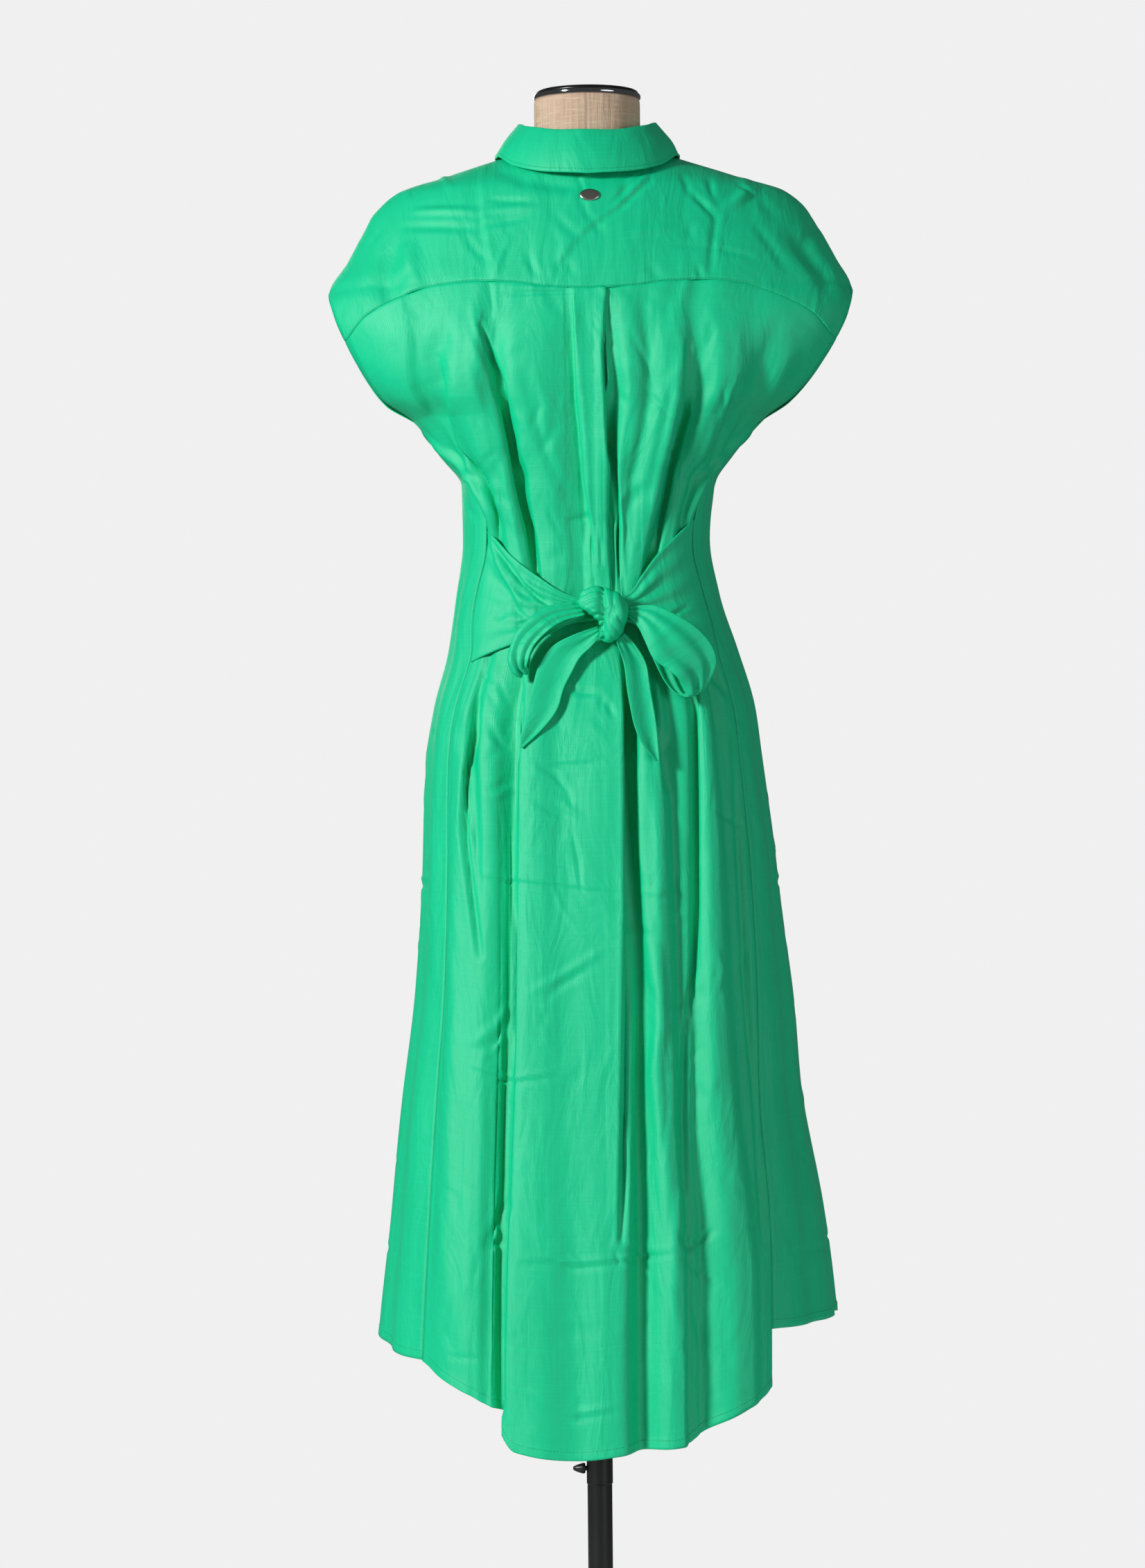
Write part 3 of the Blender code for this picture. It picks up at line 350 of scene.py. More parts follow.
# The dress form: rings like the dress's, under it everywhere.
FORM = table("""
height half back front square round
1664   54.5 53.5 54.0 2.00  0.52
1656   60.0 52.0 54.0 2.00  0.60
1649   77.0 52.0 53.0 1.95  0.90
1641  110.0 56.0 50.5 1.90  1.00
1628  156.0 66.0 51.0 1.82  0.82
1613  179.0 74.0 61.0 1.90  0.64
1590  186.0 80.0 72.0 2.00  0.56
1560  189.0 89.0 84.0 2.10  0.50
1500  181.0  98.0 102.0 2.20  0.46
1450  168.0 101.0 113.0 2.30  0.44
1400  149.0  98.0 114.0 2.30  0.44
1350  127.0  89.0 105.0 2.30  0.44
1300  112.0  80.0  93.0 2.30  0.44
1250  106.0  75.0  85.0 2.30  0.44
1200  112.0  79.0  88.0 2.30  0.44
1150  125.0  88.0  95.0 2.30  0.44
1100  139.0  98.0 102.0 2.30  0.44
1050  147.0 108.0 108.0 2.30  0.44
1000  150.0 114.0 112.0 2.30  0.44
940   148.0 115.0 112.0 2.30  0.44
""")


# ---------------------------------------------------------------- curves and rings

def smooth(at, keys, values):
    """Monotone cubic curve through the points, held level past both ends."""
    keys, values = np.asarray(keys, float), np.asarray(values, float)
    if keys[0] > keys[-1]:
        keys, values = keys[::-1], values[::-1]
    step = np.diff(keys)
    rise = np.diff(values) / step
    product = rise[:-1] * rise[1:]
    total = np.where(product > 0, rise[:-1] + rise[1:], 1)
    inner = np.where(product > 0, 2 * product / total, 0)
    slope = np.concatenate((rise[:1], inner, rise[-1:]))
    at = np.clip(at, keys[0], keys[-1])
    k = np.clip(np.searchsorted(keys, at) - 1, 0, len(step) - 1)
    t = (at - keys[k]) / step[k]
    start = values[k] + step[k] * slope[k] * t * (1 - t) ** 2
    end = step[k] * slope[k + 1] * t * t * (t - 1)
    return start + end + (values[k + 1] - values[k]) * t * t * (3 - 2 * t)


def ease(t):
    """0 to 1 with a level start and end."""
    t = np.clip(t, 0, 1)
    return t * t * (3 - 2 * t)


def power(value, exponent):
    """A power that keeps the sign."""
    return np.sign(value) * np.abs(value) ** exponent


def read(rings, name, z):
    """A column of a table of rings at height z."""
    return smooth(z / MM, rings["height"], rings[name])


def edge_width(z, left):
    """Half width of the outline, which is the sleeve's edge where the sleeve is open."""
    return np.where(left, read(RINGS, "left", z), read(RINGS, "right", z)) * MM


def mouth_depth(z):
    """Half depth of the sleeve's opening at height z."""
    across = 2 * (z - MOUTH_LOW) / (MOUTH_TIP - MOUTH_LOW) - 1
    return MOUTH_HALF_DEPTH * np.sqrt(np.clip(1 - np.abs(across) ** 2.4, 0, 1))


def ring(z, left, back):
    """Half width, depth and exponents of the ring; it runs on past the sleeve's opening."""
    depth = np.where(back, read(RINGS, "back", z), read(RINGS, "front", z)) * MM
    square, roundness = read(RINGS, "square", z), read(RINGS, "round", z)
    left_out = 1 - (mouth_depth(z) / depth) ** (1 / roundness)
    return edge_width(z, left) / left_out ** (1 / square), depth, square, roundness


def lift(x, y, z, half, depth, proud):
    """Points moved out from the ring by proud."""
    out = np.stack((x / half ** 2, y / depth ** 2), axis=-1)
    out = out / np.maximum(np.linalg.norm(out, axis=-1, keepdims=True), 1e-9)
    return np.stack((x + out[..., 0] * proud, y + out[..., 1] * proud, z), axis=-1)


def on_body(x, z, back, proud=0.0):
    """Points of the body's surface at x and z, behind or before the middle."""
    x, z = np.broadcast_arrays(np.asarray(x, float), np.asarray(z, float))
    half, depth, square, roundness = ring(z, x > 0, back)
    share = np.clip(np.abs(x) / half, 0, 1)
    y = (1 if back else -1) * depth * (1 - share ** square) ** roundness
    return lift(x, y, z, half, depth, proud)


def around_body(angle, z, proud=0.0):
    """Points of the body's surface at an angle from the centre back, to the left if positive."""
    angle, z = np.broadcast_arrays(np.asarray(angle, float), np.asarray(z, float))
    half, depth, square, roundness = ring(z, np.sin(angle) > 0, np.cos(angle) > 0)
    x = half * power(np.sin(angle), 2 / square)
    y = depth * power(np.cos(angle), 2 * roundness)
    return lift(x, y, z, half, depth, proud)


def ridge_height(x):
    """Height of the shoulder line over x."""
    heights = np.linspace(MOUTH_TIP, RINGS["height"][0] * MM, 300)
    found = [np.interp(np.abs(x), edge_width(heights, side)[::-1], heights[::-1])
             for side in (False, True)]
    return np.where(np.asarray(x) > 0, found[1], found[0])


def height_at(x, y, back=False):
    """Height at which the front surface over x has come forward to y, or the back one back."""
    x, y = np.broadcast_arrays(np.asarray(x, float), np.asarray(y, float))
    heights = np.linspace(RINGS["height"][0], 1450, 420) * MM
    found = []
    for one_x, one_y in zip(x.ravel(), y.ravel()):
        depths = np.abs(on_body(np.full_like(heights, one_x), heights, back)[:, 1])
        depths[np.abs(one_x) >= ring(heights, one_x > 0, back)[0]] = 0
        found.append(np.interp(abs(one_y), np.maximum.accumulate(depths), heights))
    return np.array(found).reshape(x.shape)


def seam_angle(z, side):
    """Angle of the side seam at height z, for the left, 1, or right, -1."""
    name = "left" if side > 0 else "right"
    return np.radians(smooth(z / MM, SIDE_SEAMS["height"], SIDE_SEAMS[name]))


def back_end(z, side):
    """x at which the back ends at height z: the sleeve's edge, and the side seam below it."""
    seam = around_body(seam_angle(z, side) * side, z)[..., 0]
    return np.where(z >= MOUTH_LOW, edge_width(z, side > 0) * side, seam)


def neckline(angle):
    """Collar seam at an angle from the centre back."""
    angle = np.asarray(angle, float)
    x = NECK_HALF_WIDTH * np.sin(angle)
    rise = ridge_height(NECK_HALF_WIDTH) - NAPE
    behind = on_body(x, NAPE + rise * np.sin(angle) ** 2, True)
    y = np.minimum(NECK_FRONT_DEPTH * np.cos(angle), 0)
    before = np.stack((x, y, height_at(x, y)), axis=-1)
    return np.where((np.cos(angle) > 0)[..., None], behind, before)


# ---------------------------------------------------------------- folded grids

def columns_between(places, width, cell):
    """Column places as an index and a part of the way between two folds."""
    steps = np.maximum(1, np.round(np.abs(np.diff(places)) * width / cell)).astype(int)
    index = np.concatenate([np.full(n, k) for k, n in enumerate(steps)] + [[len(steps) - 1]])
    part = np.concatenate([np.arange(n) / n for n in steps] + [[1.0]])
    return index, part


def fold_rows(folds, names, keys, heights, first, last, width, cell):
    """Share and proud of each column in each row, between the folds of a table.

    names are the table's columns of shares and of prouds at the heights in keys."""
    share_names, proud_names = names
    shares = np.stack([np.full_like(heights, first)]
                      + [smooth(heights / MM, keys, row) for row in
                         zip(*(folds[name] for name in share_names))]
                      + [np.full_like(heights, last)], axis=-1)
    prouds = np.stack([np.zeros_like(heights)]
                      + [smooth(heights / MM, keys, row) for row in
                         zip(*(folds[name] for name in proud_names))]
                      + [np.zeros_like(heights)], axis=-1) * MM
    index, part = columns_between(shares[len(heights) // 2], width, cell)
    bend = (1 - np.cos(np.pi * part)) / 2
    falling = prouds[:, index] > prouds[:, index + 1]
    bend = np.where(falling, bend ** SHARPER, 1 - (1 - bend) ** SHARPER)
    share = shares[:, index] * (1 - part) + shares[:, index + 1] * part
    proud = prouds[:, index] * (1 - bend) + prouds[:, index + 1] * bend
    return share, proud


def bodice_grid(upper_rows, lower_rows, cell):
    """Back bodice from the yoke seam to the waist; a row lies under the sleeve's opening."""
    end = seam_heights(SEAM_AT_MOUTH - HALF_SEAM, upper_rows, lower_rows)[:, None]
    centre = YOKE_SEAM["height"][0] * MM - HALF_SEAM
    droop = 1 - ease((SEAM_AT_MOUTH - end) / (SEAM_AT_MOUTH - MOUTH_LOW))
    middle = end + (centre - SEAM_AT_MOUTH + HALF_SEAM) * droop
    names = (("yoke", "arm", "side", "waist"),
             ("proud_yoke", "proud_arm", "proud_side", "proud_waist"))
    share, proud = fold_rows(BODICE_FOLDS, names, BODICE_KEYS, middle[:, 0], 1, -1,
                             235 * MM, cell)
    x = back_x(share, end)
    seam_x = np.abs(back_x(share, end[:1])) / MM
    seam = smooth(seam_x, YOKE_SEAM["x"], YOKE_SEAM["height"]) * MM - HALF_SEAM
    z = middle - (centre - seam) * droop
    pressed = 0.25 + 0.9 * ease((centre - middle) / (110 * MM))
    pressed = pressed - 0.5 * ease((1235 * MM - z) / (40 * MM))
    return on_body(x, z, True, proud * pressed)


def seam_heights(top, upper_rows, lower_rows):
    """Heights down the back's edge: along the sleeve's opening, then along the side seam."""
    upper = np.linspace(top, MOUTH_LOW, upper_rows + 1)[:-1]
    return np.concatenate((upper, np.linspace(MOUTH_LOW, WAIST + HALF_SEAM, lower_rows + 1)))


def back_x(share, z):
    """x of a share of the back's width, whose edges stop short of the seam line."""
    ends = np.where(share > 0, back_end(z, 1), -back_end(z, -1))
    return share * ends - np.sign(share) * np.abs(share) ** 20 * HALF_SEAM


def skirt_grid(rows, tail_rows, cell):
    """Back skirt from the waist to the hem; its last rows are the tail below the front's hem."""
    v = np.linspace(0, 1, rows + 1)[:, None]
    middle = WAIST + (SKIRT_FOLDS["hem_height"].min() * MM - WAIST) * v
    middle = np.concatenate((middle, np.repeat(middle[-1:], tail_rows, axis=0)))
    names = (("hip", "knee", "hem"), ("proud_hip", "proud_knee", "proud_hem"))
    share, proud = fold_rows(SKIRT_FOLDS, names, SKIRT_KEYS, middle[:, 0], 1, -1,
                             150 * MM, cell)
    places = np.concatenate(([1], SKIRT_FOLDS["hem"], [-1]))
    hems = np.concatenate(([BACK_HEM_ENDS[1]], SKIRT_FOLDS["hem_height"] * MM,
                           [BACK_HEM_ENDS[-1]]))
    hem = smooth(share[-1], places, hems)
    side_drop = np.where(share[-1] > 0, TAIL_DROP[1], TAIL_DROP[-1])
    drop = TAIL_DROP[0] + (side_drop - TAIL_DROP[0]) * share[-1] ** 2
    top = WAIST - HALF_SEAM
    tail = np.linspace(1, 0, tail_rows + 1)[1:, None]
    z = np.concatenate((top + (hem + drop - top) * v, hem + drop * tail))
    pressed = 0.15 + 0.85 * ease((WAIST - 15 * MM - z) / (120 * MM))
    return on_body(back_x(share, z), z, True, proud * pressed)


def front_grid(side, upper_rows, waist_rows, skirt_rows, cell):
    """One front from its front edge to the side seam and the sleeve's edge."""
    first_x = -PLACKET_HALF + TOUCH if side > 0 else PLACKET_HALF + TOUCH
    knots = np.concatenate(([0], FRONT_FOLDS["place"] + FRONT_SHIFT[side], [1]))
    index, part = columns_between(knots, 330 * MM, cell)
    c = knots[index] * (1 - part) + knots[index + 1] * part
    top_x, top_y = front_top_edge(first_x, c, side)
    top_z = height_at(top_x * side, top_y) - HALF_SEAM
    # upper rows: from the top edge to the ring under the arm
    first, half, square = front_start(first_x, MOUTH_LOW, side)
    angle = np.pi - first - (np.pi / 2 - first) * c
    low_x = half * power(np.sin(angle), 2 / square)
    v = np.linspace(0, 1, upper_rows + 1)[:-1, None]
    x = top_x + (low_x - top_x) * v
    z = top_z + (MOUTH_LOW - top_z) * v
    x *= 1 + (edge_width(z[:, -1:], side > 0) / x[:, -1:] - 1) * c ** 2
    proud = fold_proud(z, c, index, part) * ease(v / FOLD_START)
    upper = on_body(x * side, z, False, proud)
    # lower rows: round the body to the side seam
    hem = HEM_CENTRE_FRONT + (HEM_SIDE[side] - HEM_CENTRE_FRONT) * ease(c / HEM_HIGH)
    hem -= HEM_DIP[side] * ease((c - HEM_HIGH) / (1 - HEM_HIGH))
    bodice = np.linspace(MOUTH_LOW, WAIST + HALF_SEAM, waist_rows + 1)[:, None] + 0 * c
    top = WAIST - HALF_SEAM
    skirt = top + (hem - top) * np.linspace(0, 1, skirt_rows + 1)[:, None]
    z = np.concatenate((bodice[:-1], bodice[-1:] / 2 + skirt[:1] / 2, skirt[1:]))
    first, half, _ = front_start(first_x, z, side)
    last = seam_angle(z, side) + HALF_SEAM / half
    angle = np.pi - first - (np.pi - first - last) * c
    lower = around_body(angle * side, z, fold_proud(z, c, index, part))
    return np.concatenate((upper, lower))


def front_start(first_x, z, side):
    """Angle from the centre front to the front edge, with the ring's half width and squareness."""
    half, _, square, _ = ring(z, side > 0, False)
    edge_half = ring(z, first_x * side > 0, False)[0]
    return np.arcsin(power(first_x / edge_half, square / 2)), half, square


def front_top_edge(first_x, c, side):
    """x and y along the neckline, then along the yoke's front seam to the sleeve."""
    turn = NECK_SHARE
    mouth = np.linspace(MOUTH_TIP, SEAM_AT_MOUTH, 200)
    seam_end = np.interp(FRONT_SEAM_DEPTH, mouth_depth(mouth), mouth)
    neck_end = math.acos(-FRONT_SEAM_DEPTH / NECK_FRONT_DEPTH)
    neck_start = math.pi - math.asin(first_x / NECK_HALF_WIDTH)
    neck_angle = neck_start + (neck_end - neck_start) * np.clip(c / turn, 0, 1)
    neck_x = NECK_HALF_WIDTH * math.sin(neck_end)
    seam_x = neck_x + (edge_width(seam_end, side > 0) - neck_x) * (c - turn) / (1 - turn)
    x = np.where(c < turn, NECK_HALF_WIDTH * np.sin(neck_angle), seam_x)
    return x, np.where(c < turn, NECK_FRONT_DEPTH * np.cos(neck_angle), -FRONT_SEAM_DEPTH)


def fold_proud(z, c, index, part):
    """How far the front's folds stand out at heights z."""
    names = ("bust", "waist", "hip", "hem")
    levels = [smooth(z / MM, FRONT_KEYS, row) for row in zip(*(FRONT_FOLDS[n] for n in names))]
    prouds = np.stack([np.zeros_like(levels[0])] + levels + [np.zeros_like(levels[0])]) * MM
    bend = (1 - np.cos(np.pi * part)) / 2
    falling = prouds[index, :, 0] > prouds[index + 1, :, 0]
    bend = np.where(falling[:, 0], bend ** SHARPER, 1 - (1 - bend) ** SHARPER)
    column = np.arange(len(c))
    if prouds.shape[2] == 1:
        column = np.zeros(len(c), int)
    start = prouds[index, :, column].T
    end = prouds[index + 1, :, column].T
    return start * (1 - bend) + end * bend


def yoke_grid(rows, strip_rows, cell):
    """Back yoke: up from its seam to the neckline or the shoulder line, and over to the front.

    The last rows hold only the columns past the neck, so the others are marked nan."""
    turn = NECK_HALF_WIDTH / edge_width(MOUTH_TIP, True)
    inner = np.linspace(0, turn, max(2, round(NECK_HALF_WIDTH / cell)) + 1)
    outer = np.linspace(turn, 1, max(3, round(190 * MM / cell)) + 1)[1:]
    c = np.concatenate((inner, outer))
    c = np.concatenate((c[::-1], -c[1:]))
    rise = np.sin(np.linspace(0, np.pi / 2, rows + 1))[:, None]
    end = SEAM_AT_MOUTH + (MOUTH_TIP - SEAM_AT_MOUTH) * rise
    x = c * np.where(c > 0, edge_width(end, True), edge_width(end, False))
    base = smooth(np.abs(x[0]) / MM, YOKE_SEAM["x"], YOKE_SEAM["height"]) * MM + HALF_SEAM
    top_x = x[-1]
    top = ridge_height(top_x)
    neck = NAPE + (ridge_height(NECK_HALF_WIDTH) - NAPE) * (top_x / NECK_HALF_WIDTH) ** 2
    top = np.where(np.abs(c) < turn - 1e-6, neck, top)
    back = on_body(x, base + (top - base) * rise, True)
    side = np.abs(c) >= turn - 1e-6
    strip = []
    for depth in np.linspace(0, FRONT_SEAM_DEPTH, strip_rows + 1)[1:]:
        heights = np.linspace(MOUTH_TIP, SEAM_AT_MOUTH, 200)
        end_z = np.interp(depth, mouth_depth(heights), heights)
        neck_x = NECK_HALF_WIDTH * math.sqrt(1 - (depth / NECK_FRONT_DEPTH) ** 2)
        ends = np.where(c > 0, edge_width(end_z, True), edge_width(end_z, False))
        x = np.sign(c) * (neck_x + (ends - neck_x) * (np.abs(c) - turn) / (1 - turn))
        row = np.full((len(c), 3), np.nan)
        z = height_at(x[side], -depth) + (HALF_SEAM if depth == FRONT_SEAM_DEPTH else 0)
        row[side] = np.stack((x[side], np.full(side.sum(), -depth), z), axis=-1)
        strip.append(row)
    grid = np.concatenate((back, np.array(strip)))
    return grid[::-1]


def tie_grid(tie, side, rows, columns):
    """A tie from the side seam to the knot, its pleats gathering towards the knot."""
    s = np.linspace(0, 1, columns + 1)
    t = np.linspace(0, 1, rows + 1)[:, None]
    upper, lower = (smooth(s, tie["along"], tie[name]) for name in ("upper", "lower"))
    upper_z, lower_z, off, wave = (smooth(s, tie["along"], tie[name]) * MM
                                   for name in ("upper_z", "lower_z", "lift", "wave"))
    z = upper_z + (lower_z - upper_z) * t
    x = (upper + (lower - upper) * t) * back_end(z, side)
    proud = off + TIE_SMOOTH * wave * np.cos(2 * np.pi * TIE_PLEATS * t)
    return on_body(x, z, True, proud)


def knot_grid(rows, columns):
    """The knot: a wrap with the twisted ends beside it, from its inner side out to the back."""
    angle = np.linspace(0, 2 * np.pi, columns, endpoint=False)
    rise = np.linspace(math.radians(-80), math.radians(80), rows + 1)[:, None]
    radius = smooth(np.degrees(angle), KNOT_OUTLINE["angle"], KNOT_OUTLINE["radius"]) * MM
    spread = radius * np.cos(rise) ** 0.7
    x, z = spread * np.sin(angle), spread * np.cos(angle)
    crease = 1 - CREASE_DEPTH * np.exp(-((x - KNOT_CREASE) / CREASE_WIDTH) ** 2) * (rise > 0)
    y = KNOT_DEPTH * np.sin(rise) * crease
    return np.stack((x, y, z), axis=-1)[::-1] + KNOT


def loop_grid(loop, rows, columns):
    """A bow loop: out from the knot, round its end and back to the knot beneath itself."""
    keys = np.linspace(0, 1, len(loop["outer"]))
    s = np.linspace(0, 1, columns + 1)
    t = np.linspace(0, 1, rows + 1)[:, None]

    def between(name):
        ends = [smooth(s, keys, loop[edge + name]) * MM for edge in ("outer", "inner")]
        return ends[0] + (ends[1] - ends[0]) * t

    arch = LOOP_SWELL * np.sin(np.pi * t) * np.cos(np.pi * s) * np.sin(np.pi * s)
    return on_body(between(""), between("_z"), True, between("_off") + arch)


def tail_grid(tail, rows, columns):
    """A hanging end of a tie, with a soft lengthwise fold and a pointed end."""
    keys = np.linspace(0, 1, len(tail["left"]))
    s = np.linspace(0, 1, rows + 1)
    left, left_z, right, right_z = (smooth(s, keys, tail[name])[:, None] * MM
                                    for name in ("left", "left_z", "right", "right_z"))
    t = np.linspace(0, 1, columns + 1)[None, :]
    x = left + (right - left) * t
    z = left_z + (right_z - left_z) * t
    fold = TAIL_FOLD * np.cos(1.4 * np.pi * t) * ease((left - right) / (16 * MM))
    off = TAIL_OFF[0] + (TAIL_OFF[1] - TAIL_OFF[0]) * ease(s[:, None] / 0.4)
    return on_body(x, z, True, off + fold)


# ---------------------------------------------------------------- creases

# Creases of the back: a trough, a ridge, or a knife edge with one side of it standing higher.  Each
# runs through places of the picture, whose unit is 0.7 mm at the pole.  Its width and its height
# are in millimetres; a knife edge that runs down the picture stands higher on its right if its
# height is below zero.
YOKE_CREASES = """
edge   2.2 -1.5  691,253 693,303 700,350 708,406
ridge  4.0  1.1  594,297 691,303
trough 4.5 -0.9  580,320 685,328
trough 2.5 -0.8  704,287 760,291
ridge  3.5  0.8  704,303 772,300
trough 3.0 -0.7  697,325 760,316
edge   1.4  0.9  872,319 826,362 804,387
trough 3.0 -1.1  945,253 898,300 861,325 820,365
trough 2.5 -0.9  923,253 873,306
ridge  3.0  0.8  934,253 886,302 840,336
ridge  3.0  0.7  735,344 719,381 715,400
trough 12  -2.4  569,350 554,400 566,440 585,494 616,606
ridge  9.0  1.6  585,344 597,409
trough 8.0 -1.2  710,234 757,259 819,269 879,256
trough 3.5 -1.3  998,278 1026,306 1032,319
trough 4.0 -1.0  1036,306 1029,344 1023,400
trough 3.0 -0.8  1004,387 1012,409
trough 3.5 -0.9  1023,253 1029,284
trough 3.0 -0.8  1067,262 1086,278
ridge  5.0  1.1  1045,300 1092,266
trough 9.0 -2.0  1145,337 1189,394 1195,419
edge   3.0 -1.5  1159,473 1173,491 1201,498
"""
BODICE_CREASES = """
ridge  5.0  2.4  684,500 699,540 712,590 722,640 733,700 746,760
ridge  5.0  2.0  979,520 975,580 962,640 948,700 938,740
trough 3.0 -5.2  694,470 710,520 722,560 729,600 737,640 743,680 751,720 762,760 768,800 774,830
ridge  9.0  2.2  668,560 684,620 702,680 722,740
trough 3.0 -2.6  880,560 884,640 888,720 893,800 897,855
trough 3.0 -4.2  992,500 991,560 988,600 976,640 965,680 958,720 949,760 944,800 938,830
trough 2.4 -5.5  872,500 876,560 879,600 881,640 883,680 888,720 892,770 894,830
edge   2.2 -5.0  632,520 646,585 663,640 680,692 703,760
trough 7.0 -3.0  604,560 628,610 652,655 674,700 696,750
ridge  2.2  1.6  612,634 638,664 660,700 684,740
edge   2.2  4.5  1060,560 1046,600 1030,650 1016,690 1000,730
trough 6.0 -2.6  1086,590 1066,630 1044,668 1024,706 1006,738
ridge  2.2  1.4  1090,634 1068,662 1046,690 1022,722
trough 4.0 -2.0  1075,600 1050,660 1020,715 990,760
edge   1.6 -1.2  709,409 713,444 713,467
trough 1.8 -0.8  731,428 825,426
ridge  2.2  0.5  728,418 822,420
ridge  9.0  1.8  640,564 666,643 696,752
edge   2.4  2.2  693,444 699,497 725,582 740,664 757,737 775,825
ridge  10   1.2  672,480 690,560 716,660 740,760
trough 6.0 -1.0  757,541 781,635 804,693 828,723
edge   1.3 -3.4  825,418 831,576 842,693 851,752 858,834
edge   1.2  3.6  874,418 869,517 873,620 879,722 883,810 886,857
trough 2.0 -0.9  866,778 867,819
trough 4.0 -1.3  822,752 845,746 857,810
edge   2.2  2.8  992,576 977,623 957,679 948,737 945,802
ridge  4.5  1.5  1056,591 1036,664 1009,737 983,761
trough 3.0 -0.8  1042,564 1045,599
ridge  4.0  1.2  1033,605 1001,699 983,758
ridge  8.0  1.0  905,430 908,520 915,640
trough 5.0 -0.9  930,440 935,520 932,600
trough 10  -2.4  640,470 632,520 640,590
trough 9.0 -1.6  1120,470 1098,540 1080,580
ridge  7.0  1.2  1148,500 1120,560 1096,590
"""
SKIRT_CREASES = """
trough 3.6 -9.0  907,940 909,1060 909,1200 909,1300 907,1450 905,1600 900,1700 896,1790
ridge  6.0  3.6  928,980 927,1060 926,1200 932,1320 940,1420
trough 3.2 -5.0  941,950 941,1000 950,1040 958,1080 962,1140
trough 3.0 -4.0  1003,980 1003,1060 1004,1200 1004,1300 1000,1400 988,1500 986,1600 987,1720
trough 15  -5.5  736,1000 730,1100 724,1300 721,1450 718,1600 713,1750 708,1900 704,2010
ridge  12   2.6  668,1060 658,1176 652,1300 650,1500 642,1700 634,1900
ridge  8.0  2.2  947,1100 949,1250 950,1400 953,1484 945,1560 962,1700 978,1850
edge   1.6  3.0  897,939 899,1028 899,1139 899,1298 897,1402 895,1525 892,1700 891,1767
trough 2.6 -3.2  752,987 751,1028 741,1102 740,1298 738,1443 735,1549 731,1700 726,1788 722,2040
edge   1.6 -3.0  756,987 754,1028 745,1102 744,1298 742,1443 739,1549 735,1700 730,1788 724,2040
trough 3.2 -4.5  690,1010 685,1060 673,1120 669,1200 680,1290 692,1380
trough 4.0 -4.0  1060,1060 1066,1200 1078,1400 1092,1600 1104,1800
trough 3.0 -2.2  675,952 664,972 652,994
edge   2.0 -1.6  699,950 692,1002 686,1039
trough 5.0 -2.0  683,1060 677,1110 674,1200
ridge  4.0  1.0  651,1028 655,1087
ridge  4.0  0.9  634,1058 627,1139
trough 2.5 -1.2  695,971 714,982
trough 3.0 -1.0  718,982 732,1013
trough 2.5 -0.9  703,991 714,1017
trough 4.0 -1.1  703,1035 721,1076 699,1098
trough 3.0 -0.9  703,1054 740,1083
ridge  2.2  0.7  718,1032 751,1034
ridge  4.0  0.9  706,1150 742,1135
trough 4.0 -0.8  703,1139 740,1124
trough 3.0 -0.9  760,1150 799,1172 823,1181
trough 3.2 -1.1  769,1098 799,1117 817,1139 823,1161
trough 3.0 -0.9  792,1106 832,1104 866,1102
ridge  3.5  0.7  788,1098 832,1096 866,1094
trough 3.2 -1.6  817,989 832,998 862,1000
trough 3.0 -1.0  869,1006 866,1021
trough 3.0 -1.2  875,1013 884,1035
trough 2.0 -1.1  825,1202 834,1243 838,1287
trough 2.2 -1.1  694,1268 742,1273 799,1280 854,1287 891,1291
ridge  2.6  0.8  694,1260 742,1265 799,1272 854,1279 891,1283
trough 4.5 -2.8  1021,943 1036,980 1058,1009 1067,1022
trough 3.0 -1.1  1036,1176 1058,1187 1082,1200
edge   1.6  1.0  1073,1013 1093,1100 1110,1198
trough 2.2 -1.1  973,1268 978,1298
ridge  3.0  0.9  928,1287 951,1289 965,1281
trough 3.0 -0.6  619,1235 651,1239
ridge  5.0  1.1  677,1509 700,1492 736,1451
trough 4.0 -1.0  690,1500 704,1510 734,1478
ridge  3.0  0.9  695,1525 724,1500
trough 2.2 -1.2  679,1545 708,1553 738,1562 802,1553
ridge  2.6  0.9  679,1538 708,1546 738,1555 802,1546
ridge  4.0  1.1  765,1431 802,1411 838,1390 867,1372
trough 3.5 -0.9  785,1443 806,1423 842,1402
trough 3.0 -0.8  783,1460 785,1478
ridge  5.0  1.2  949,1362 953,1484 940,1558
trough 3.0 -1.0  900,1333 916,1341
ridge  4.0  1.0  1034,1374 1042,1402 1034,1435
edge   1.8  1.2  1036,1558 1028,1595 1024,1631
trough 3.0 -1.1  961,1598 957,1640 953,1680
edge   2.4 -1.4  587,1726 578,1738 566,1745
trough 4.5 -2.2  735,1736 724,1754 700,1797
trough 4.0 -1.8  702,1801 728,1791
trough 3.0 -1.1  750,1823 798,1821 819,1830 884,1823 967,1810
ridge  3.0  0.8  750,1815 798,1813 819,1821 884,1815 967,1802
ridge  3.0  1.1  804,1819 824,1814 837,1823
trough 2.2 -1.3  886,1806 893,1823
trough 3.5 -1.6  988,1806 1006,1795 1027,1782
trough 3.0 -1.1  986,1819 1006,1840 1045,1871
trough 4.0 -1.1  1045,1871 1048,1950 1051,2018
trough 3.0 -1.0  997,1871 1010,1950 1023,2023
trough 2.5 -0.8  1079,1780 1097,1773
trough 2.5 -0.9  641,1962 698,1962
ridge  3.5  0.9  763,2005 824,2040 889,2027
trough 3.0 -0.8  763,2013 824,2049 889,2036
trough 4.0 -1.8  980,1780 993,1806
ridge  5.0  1.3  980,1723 971,1801 973,1897 982,1962
"""
